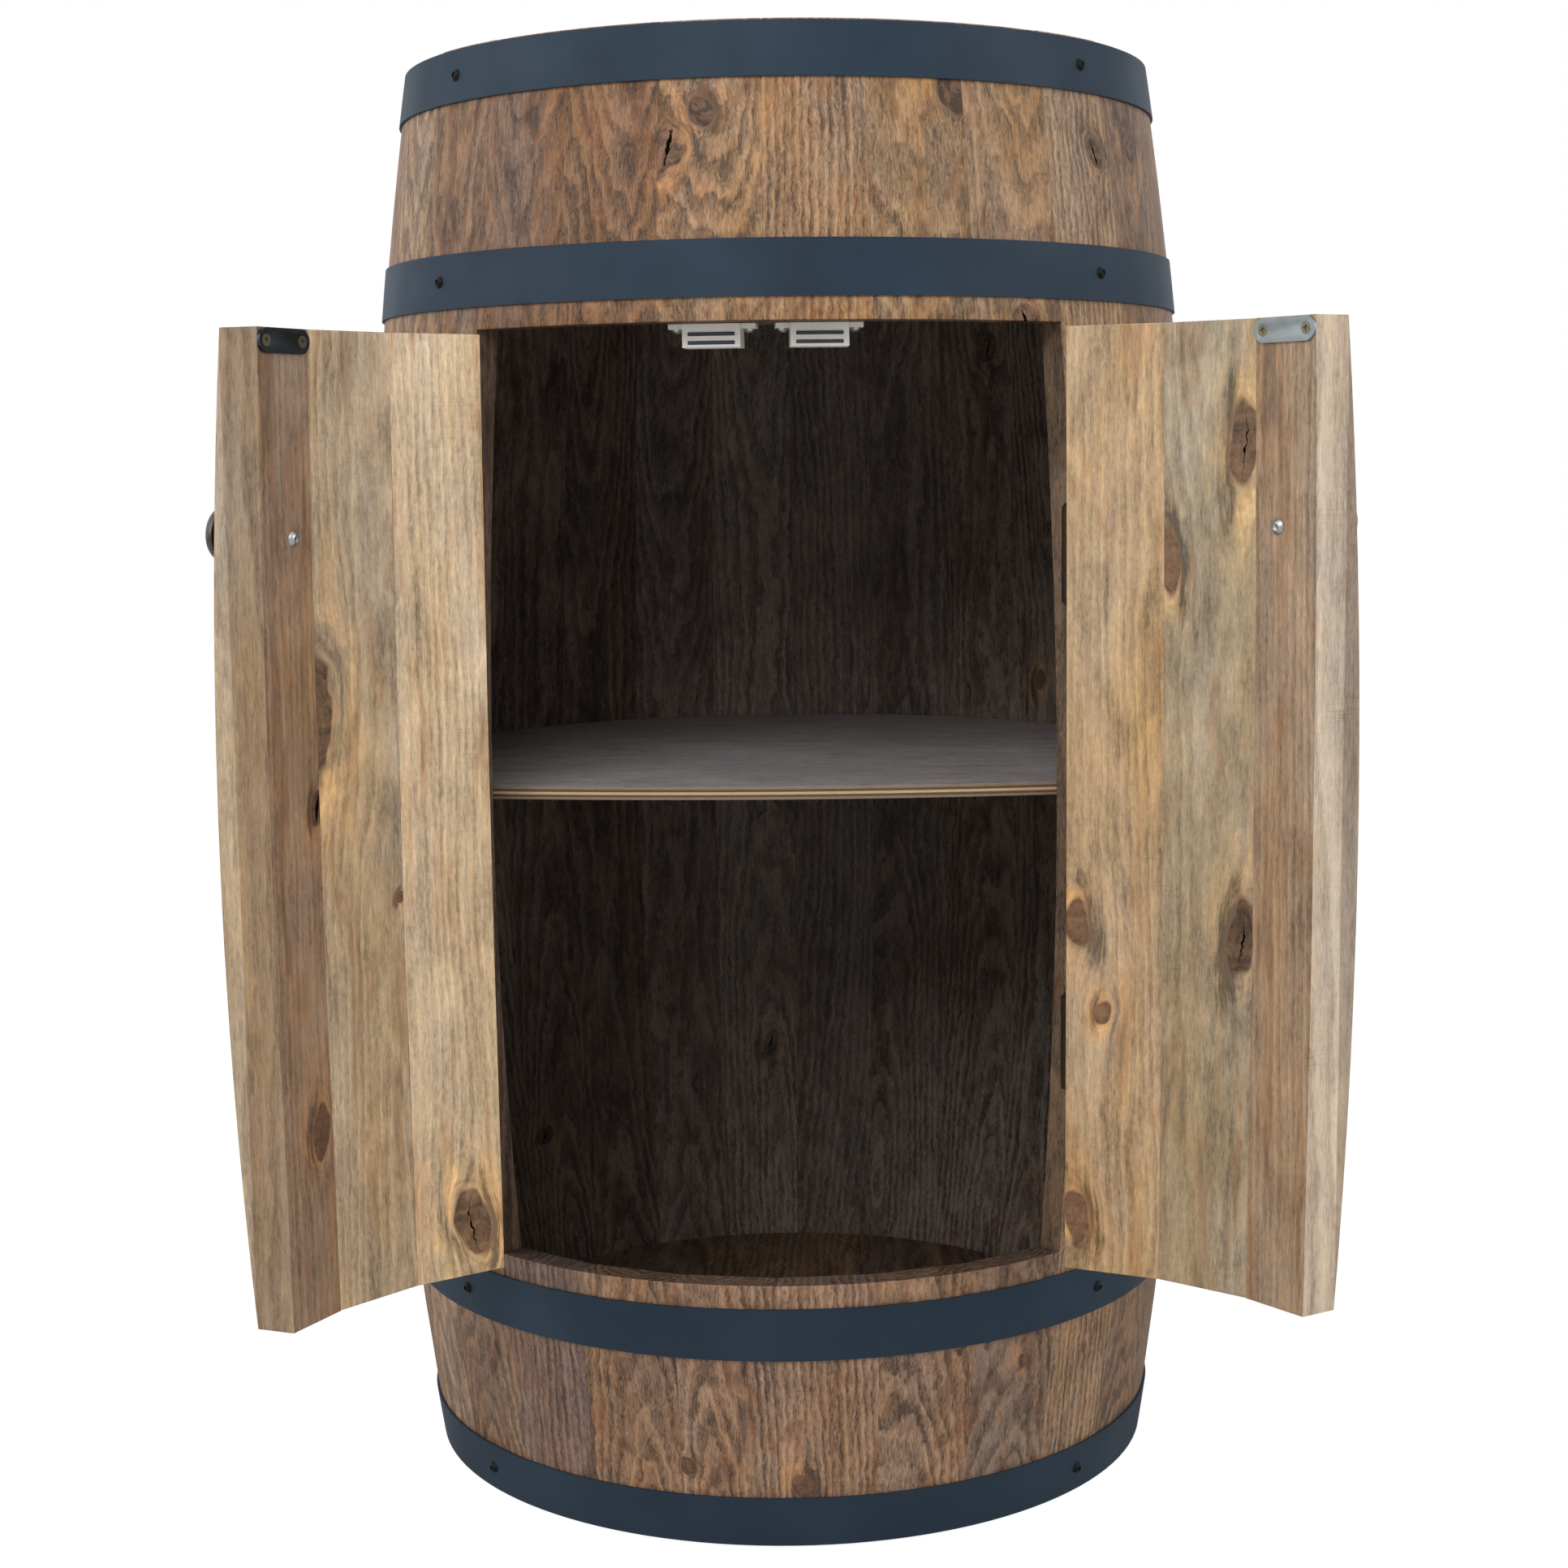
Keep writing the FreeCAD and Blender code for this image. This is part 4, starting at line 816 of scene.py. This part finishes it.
def powder_coat(name, code, darker, peel=0.12):
    """A satin skin that varies a little between two tones, with an orange-peel texture."""
    material, tree, shader = new_material(name, Specular_IOR_Level=0.14)
    place = add(tree, "TexCoord").outputs["Object"]
    peel_noise = add(tree, "TexNoise", {"Vector": place, "Scale": 1 / PEEL_WIDTH,
                                        "Detail": 2.0})
    cloud = add(tree, "TexNoise", {"Vector": place, "Scale": 1 / SHADE_WIDTH, "Detail": 4.0})
    mixed = add(tree, "MapRange", {"Value": cloud, "From Min": 0.3, "From Max": 0.7})
    paint = add(tree, "MixRGB", {0: mixed, 1: colour(darker), 2: colour(code)})
    gloss = add(tree, "MapRange", {"Value": cloud, "From Min": 0.3, "From Max": 0.7,
                                   "To Min": 0.6, "To Max": 0.5})
    bump = add(tree, "Bump", {"Height": peel_noise, "Strength": peel, "Distance": 0.2 * MM})
    tree.links.new(paint.outputs[0], shader.inputs["Base Color"])
    tree.links.new(gloss.outputs[0], shader.inputs["Roughness"])
    tree.links.new(bump.outputs[0], shader.inputs["Normal"])
    return material


hoop_coat = powder_coat("blue_grey_powder_coat", "#263543", "#222F3C")
black_oxide = powder_coat("black_oxide_steel", "#131416", "#0D0E10", peel=0.05)
hinge_coat = powder_coat("burnished_steel", "#33271E", "#221A14", peel=0.08)
print("three coats made")

# %% The hoops and hinges
for name in ("top_hoop", "upper_hoop", "lower_hoop", "bottom_hoop"):
    piece = clean_copy(name, flat_within=0.05)
    ease_edges(piece, 0.4 * MM)
    piece.data.materials.append(hoop_coat)
for name in ("body_hinge_leaves", "left_door_hinge_leaves", "right_door_hinge_leaves",
             "hinge_pins"):
    piece = clean_copy(name, flat_within=0.05)
    ease_edges(piece, 0.3 * MM)
    piece.data.materials.append(hinge_coat)
print("hoops and hinges finished")

# %% [markdown]
# ## Zinc plate
#
# The strike plates, the catches' poles and some of the screws are steel with a thin layer of
# zinc. It is a metal to the eye, a little rough and cloudy, with fine lines from the rolling
# of the sheet. Zinc comes in several tones: bright when new, grey when worn, and yellow from
# the bath that passivates it. The nearly black zinc of the left strike plate and the poles
# is a painted reflection of the barrel's dark inside.

# %% Zinc-plated steel
# Real rolling lines are a tenth of this, too fine to show.
ROLLING_WIDTH = 1.6 * MM
CLOUD_WIDTH = 6.25 * MM


def zinc_plate(name, dull, bright, gloss=0.26):
    """Cloudy zinc between two tones. A higher gloss value is rougher."""
    material, tree, shader = new_material(name, Metallic=1.0)
    place = add(tree, "TexCoord").outputs["Object"]
    drawn = add(tree, "VectorMath", {0: place, 1: (1, 1, 12)}, operation="MULTIPLY")
    lines = add(tree, "TexNoise", {"Vector": drawn, "Scale": 1 / ROLLING_WIDTH,
                                   "Detail": 3.0})
    cloud = add(tree, "TexNoise", {"Vector": place, "Scale": 1 / CLOUD_WIDTH, "Detail": 3.0})
    shade = add(tree, "MixRGB", {0: cloud, 1: colour(dull), 2: colour(bright)})
    rough = add(tree, "MapRange", {"Value": lines, "To Min": gloss, "To Max": gloss + 0.18})
    bump = add(tree, "Bump", {"Height": lines, "Strength": 0.1, "Distance": 0.05 * MM})
    tree.links.new(shade.outputs[0], shader.inputs["Base Color"])
    tree.links.new(rough.outputs[0], shader.inputs["Roughness"])
    tree.links.new(bump.outputs[0], shader.inputs["Normal"])
    return material


bright_zinc = zinc_plate("bright_zinc_plate", "#8F9294", "#B9BABA")
worn_zinc = zinc_plate("worn_zinc_plate", "#7C8488", "#98A0A3", gloss=0.48)
# Painted reflection: this nearly black zinc stands in for the barrel's dark inside mirrored in the
# left strike plate and the poles.
dark_reflection_zinc = zinc_plate("painted_reflection_zinc_plate", "#30343B", "#474B52", gloss=0.3)
yellow_zinc = zinc_plate("yellow_passivated_zinc", "#5F5A48", "#837D66", gloss=0.34)
for name, slot_name, plating, easing in (
        ("left_strike_plate", "strike_steel", dark_reflection_zinc, 0.4 * MM),
        ("right_strike_plate", "strike_steel", worn_zinc, 0.4 * MM),
        ("catch_poles", "pole_steel", dark_reflection_zinc, 0.2 * MM)):
    piece = clean_copy(name, flat_within=0.05)
    ease_edges(piece, easing)
    piece.data.materials.append(plating)
print("plated parts finished")

# %% The doors' screws
# The hinges have black screws, the knob a bright one, and the strike plate two yellow ones.
HINGE_SCREWS_WITHIN = 50 * MM


def door_screw_plating(place, pin, plate_under):
    """Which plating, by number, the screw at this place has."""
    if math.hypot(place.x - pin[0], place.y - pin[1]) < HINGE_SCREWS_WITHIN:
        return 2
    return 1 if place.z > plate_under else 0


for side in ("left", "right"):
    piece = clean_copy(f"{side}_door_screws", flat_within=0.05)
    ease_edges(piece, 0.2 * MM)
    for plating in (bright_zinc, yellow_zinc, black_oxide):
        piece.data.materials.append(plating)
    pin = door_hinges[side]["pos_m"]
    plate_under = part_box(f"{side}_strike_plate")[0].z
    for face in piece.data.polygons:
        face.material_index = door_screw_plating(face.center, pin, plate_under)
print("door screws finished")

# %% The barrel's screws
# The hoops and hinges have black screws, and the catches bright ones, which are further in
# than the staves are.
STAVES_OUTSIDE = BELLY - 33 * MM
catches_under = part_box("catch_housings")[0].z - 3 * MM
piece = clean_copy("body_screws", flat_within=0.05)
ease_edges(piece, 0.12 * MM)
piece.data.materials.append(black_oxide)
piece.data.materials.append(bright_zinc)
for face in piece.data.polygons:
    inside_barrel = math.hypot(face.center.x, face.center.y) < STAVES_OUTSIDE
    face.material_index = 1 if inside_barrel and face.center.z > catches_under else 0
print("barrel screws finished")

# %% [markdown]
# ## The catches
#
# Each magnetic catch is a moulded pale grey plastic housing that holds a magnet between two
# steel plates. Moulded ABS has a fine spark-eroded texture and a soft gloss.

# %% Moulded plastic
# The real grit is a tenth of this, too fine to show.
TEXTURE_GRIT = 0.5 * MM
YELLOWING_WIDTH = 16.667 * MM
pale_abs, tree, shader = new_material("pale_grey_abs", Roughness=0.42, IOR=1.53)
place = add(tree, "TexCoord").outputs["Object"]
grit = add(tree, "TexNoise", {"Vector": place, "Scale": 1 / TEXTURE_GRIT, "Detail": 2.0})
yellowing = add(tree, "TexNoise", {"Vector": place, "Scale": 1 / YELLOWING_WIDTH,
                                   "Detail": 2.0})
shade = add(tree, "MixRGB", {0: yellowing, 1: colour("#DEDBD2"), 2: colour("#F0EEE8")})
bump = add(tree, "Bump", {"Height": grit, "Strength": 0.15, "Distance": 0.05 * MM})
tree.links.new(shade.outputs[0], shader.inputs["Base Color"])
tree.links.new(bump.outputs[0], shader.inputs["Normal"])
print(f"{pale_abs.name} made")

# %% The catches' housings
piece = clean_copy("catch_housings", flat_within=0.05)
ease_edges(piece, 0.5 * MM)
piece.data.materials.append(pale_abs)
print("catches finished")

# %% [markdown]
# ## The shelf, the cleats and the knobs
#
# The shelf is five-ply birch plywood, stained grey brown on its faces and left raw on its
# edge, where the plies show as light and dark lines. The cleats and the catch block under
# the lintel are offcuts of the pine. The knobs are turned beech, stained almost black.

# %% Plywood
low_corner, high_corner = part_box("shelf")
SHELF_UNDER = low_corner[2]
PLY = (high_corner[2] - low_corner[2]) / 5
PLY_FIBRE, PLY_FIBRE_HEIGHT = 4 * MM, 0.4 * MM
ply_face = pine("stained_plywood", rings_show=0.08, ripple=0.3, patches_show=0.4,
                fibres_show=0.25, smudges_show=0.0)
ply_edge, tree, shader = new_material("plywood_edge", Roughness=0.7)
place = add(tree, "TexCoord").outputs["Object"]
level = add(tree, "SeparateXYZ", {0: place}).outputs["Z"]
from_under = add(tree, "Math", {0: level, 1: SHELF_UNDER}, operation="SUBTRACT")
layer = add(tree, "Math", {0: from_under, 1: PLY}, operation="DIVIDE")
which = add(tree, "Math", {0: layer, 1: 2.0}, operation="MODULO")
long_grain = add(tree, "Math", {0: which, 1: 1.0}, operation="LESS_THAN")
from_core = add(tree, "Math", {0: layer, 1: 2.5}, operation="SUBTRACT")
off_core = add(tree, "Math", {0: from_core}, operation="ABSOLUTE")
core = add(tree, "Math", {0: off_core, 1: 0.6}, operation="LESS_THAN")
fibre_scales = (1 / PLY_FIBRE, 1 / PLY_FIBRE, 1 / PLY_FIBRE_HEIGHT)
fibres = board_noise(tree, place, fibre_scales, Detail=3.0)
outer_ply = add(tree, "MixRGB", {0: fibres, 1: colour("#6F5A48"), 2: colour("#96806A")})
core_ply = add(tree, "MixRGB", {0: fibres, 1: colour("#A88B66"), 2: colour("#D2B78E")})
light = add(tree, "MixRGB", {0: core, 1: outer_ply, 2: core_ply})
dark = add(tree, "MixRGB", {0: fibres, 1: colour("#3F2D20"), 2: colour("#6A4F37")})
plies = add(tree, "MixRGB", {0: long_grain, 1: dark, 2: light})
bump = add(tree, "Bump", {"Height": fibres, "Strength": 0.3, "Distance": 0.2 * MM})
tree.links.new(plies.outputs[0], shader.inputs["Base Color"])
tree.links.new(bump.outputs[0], shader.inputs["Normal"])
print(f"each ply is {PLY / MM:.1f} mm")

# %% The shelf
shelf = clean_copy("shelf", flat_within=0.05)
ease_edges(shelf, 0.4 * MM)
# The shelf's grain runs along X, and its face looks up.
across_room = Matrix(((0, 0, 1, 0), (1, 0, 0, 0), (0, 1, 0, 0), (0, 0, 0, 1)))
mark_grain(shelf, across_room, "shelf", tint="#9F989A")
shelf.data.materials.append(ply_face)
shelf.data.materials.append(ply_edge)
for face in shelf.data.polygons:
    face.material_index = 0 if abs(face.normal.z) > 0.5 else 1
print("shelf finished")

# %% The cleats and the catch block
for name in ("shelf_cleats", "catch_block"):
    piece = clean_copy(name)
    ease_edges(piece, 0.6 * MM)
    mark_grain(piece, across_room, name)
    # The cleats and the block take the pine darkened as painted shade.
    piece.data.materials.append(jamb_painted_shade_pine)
print("cleats and block finished")

# %% The knobs
FLECK_WIDTH, FLECK_LENGTH = 1.4286 * MM, 11.111 * MM
knob_stain, tree, shader = new_material("stained_beech", Roughness=0.35)
place = add(tree, "TexCoord").outputs["Object"]
flecks = streaks(tree, place, FLECK_WIDTH, FLECK_LENGTH, Detail=4.0)
shade = add(tree, "MixRGB", {0: flecks, 1: colour("#1C120C"), 2: colour("#3C281A")})
bump = add(tree, "Bump", {"Height": flecks, "Strength": 0.15, "Distance": 0.1 * MM})
tree.links.new(shade.outputs[0], shader.inputs["Base Color"])
tree.links.new(bump.outputs[0], shader.inputs["Normal"])
for name in ("left_knob", "right_knob"):
    piece = clean_copy(name, flat_within=0.05)
    ease_edges(piece, 0.4 * MM)
    piece.data.materials.append(knob_stain)
print("knobs finished")

# %% [markdown]
# ## The floor, the light and the camera
#
# The cabinet stands on a plain pale floor in a pale room. The world and the floor look white
# to the camera and in reflections, but they light the wood only softly, so that its colours
# come out as they are written. Three large lamps give the light of a studio: one in front
# and above, one on each side.

# %% The floor
floor_shape = bmesh.new()
bmesh.ops.create_grid(floor_shape, x_segments=1, y_segments=1, size=6)
floor_mesh = bpy.data.meshes.new("floor")
floor_shape.to_mesh(floor_mesh)
floor_shape.free()
floor = bpy.data.objects.new("floor", floor_mesh)
floor.location.z = -0.5 * MM
bpy.context.scene.collection.objects.link(floor)
floor_paint, tree, shader = new_material("pale_floor", Roughness=0.9, Specular_IOR_Level=0.0)
shader.inputs["Base Color"].default_value = colour("#E9E8E6")
seen = add(tree, "LightPath")
glow = add(tree, "Emission", {"Color": (1, 1, 1, 1), "Strength": 1.27})
direct = add(tree, "Math", {0: seen.outputs["Is Camera Ray"], 1: 0.72}, operation="MULTIPLY")
floor_mix = add(tree, "MixShader", {0: direct, 1: shader, 2: glow})
tree.links.new(floor_mix.outputs[0], tree.nodes["Material Output"].inputs["Surface"])
floor_mesh.materials.append(floor_paint)
print("floor laid")

# %% The world
world = bpy.data.worlds.new("pale_room")
bpy.context.scene.world = world
world.use_nodes = True
tree = world.node_tree
background = tree.nodes["Background"]
seen = add(tree, "LightPath")
shown = add(tree, "Math", {0: seen.outputs["Is Camera Ray"], 1: seen.outputs["Is Glossy Ray"]},
            operation="MAXIMUM")
shown = add(tree, "Math", {0: shown, 1: seen.outputs["Is Transmission Ray"]},
            operation="MAXIMUM")
strength = add(tree, "MapRange", {"Value": shown, "To Min": 0.42, "To Max": 1.0})
background.inputs["Color"].default_value = (1, 1, 1, 1)
tree.links.new(strength.outputs[0], background.inputs["Strength"])
print("world set")


# %% The lamps
def soft_lamp(name, place, aim, width, watts):
    lamp = bpy.data.lights.new(name, "AREA")
    lamp.shape = "RECTANGLE"
    lamp.size = width
    lamp.size_y = width
    lamp.energy = watts
    holder = bpy.data.objects.new(name, lamp)
    holder.location = place
    holder.rotation_euler = (Vector(aim) - Vector(place)).to_track_quat("-Z", "Y").to_euler()
    bpy.context.scene.collection.objects.link(holder)


soft_lamp("front_lamp", (-0.6, -2.4, 2.2), (0, 0, 0.45), 1.6, 42)
soft_lamp("left_lamp", (-2.4, -0.8, 1.4), (0, 0, 0.4), 1.4, 22)
soft_lamp("right_lamp", (2.4, -1.0, 1.5), (0, 0, 0.4), 1.4, 24)
print("three lamps")

# %% The camera
# A short telephoto lens a metre and a half away, a little right of the middle and above
# the belly, looking slightly down.
DISTANCE, SIDE_TURN, EYE_HEIGHT = 1.527, math.radians(1.85), 0.5799
TILT, ROLL, FOCAL = math.radians(7.19), math.radians(-0.70), 58.7143
lens = bpy.data.cameras.new("camera")
lens.lens = FOCAL
lens.sensor_width = 36
lens.sensor_fit = "HORIZONTAL"
camera = bpy.data.objects.new("camera", lens)
bpy.context.scene.collection.objects.link(camera)
ahead = Vector((-math.sin(SIDE_TURN) * math.cos(TILT), math.cos(SIDE_TURN) * math.cos(TILT),
                -math.sin(TILT)))
right = Vector((math.cos(SIDE_TURN), math.sin(SIDE_TURN), 0))
up = right.cross(ahead)
rolled_right = math.cos(ROLL) * right + math.sin(ROLL) * up
rolled_up = math.cos(ROLL) * up - math.sin(ROLL) * right
camera.matrix_world = (
    Matrix.Translation((DISTANCE * math.sin(SIDE_TURN), -DISTANCE * math.cos(SIDE_TURN),
                        EYE_HEIGHT))
    @ Matrix((rolled_right, rolled_up, -ahead)).transposed().to_4x4())
bpy.context.scene.camera = camera
bpy.context.scene.view_settings.view_transform = "Standard"
print(f"lens {FOCAL:.1f} mm")
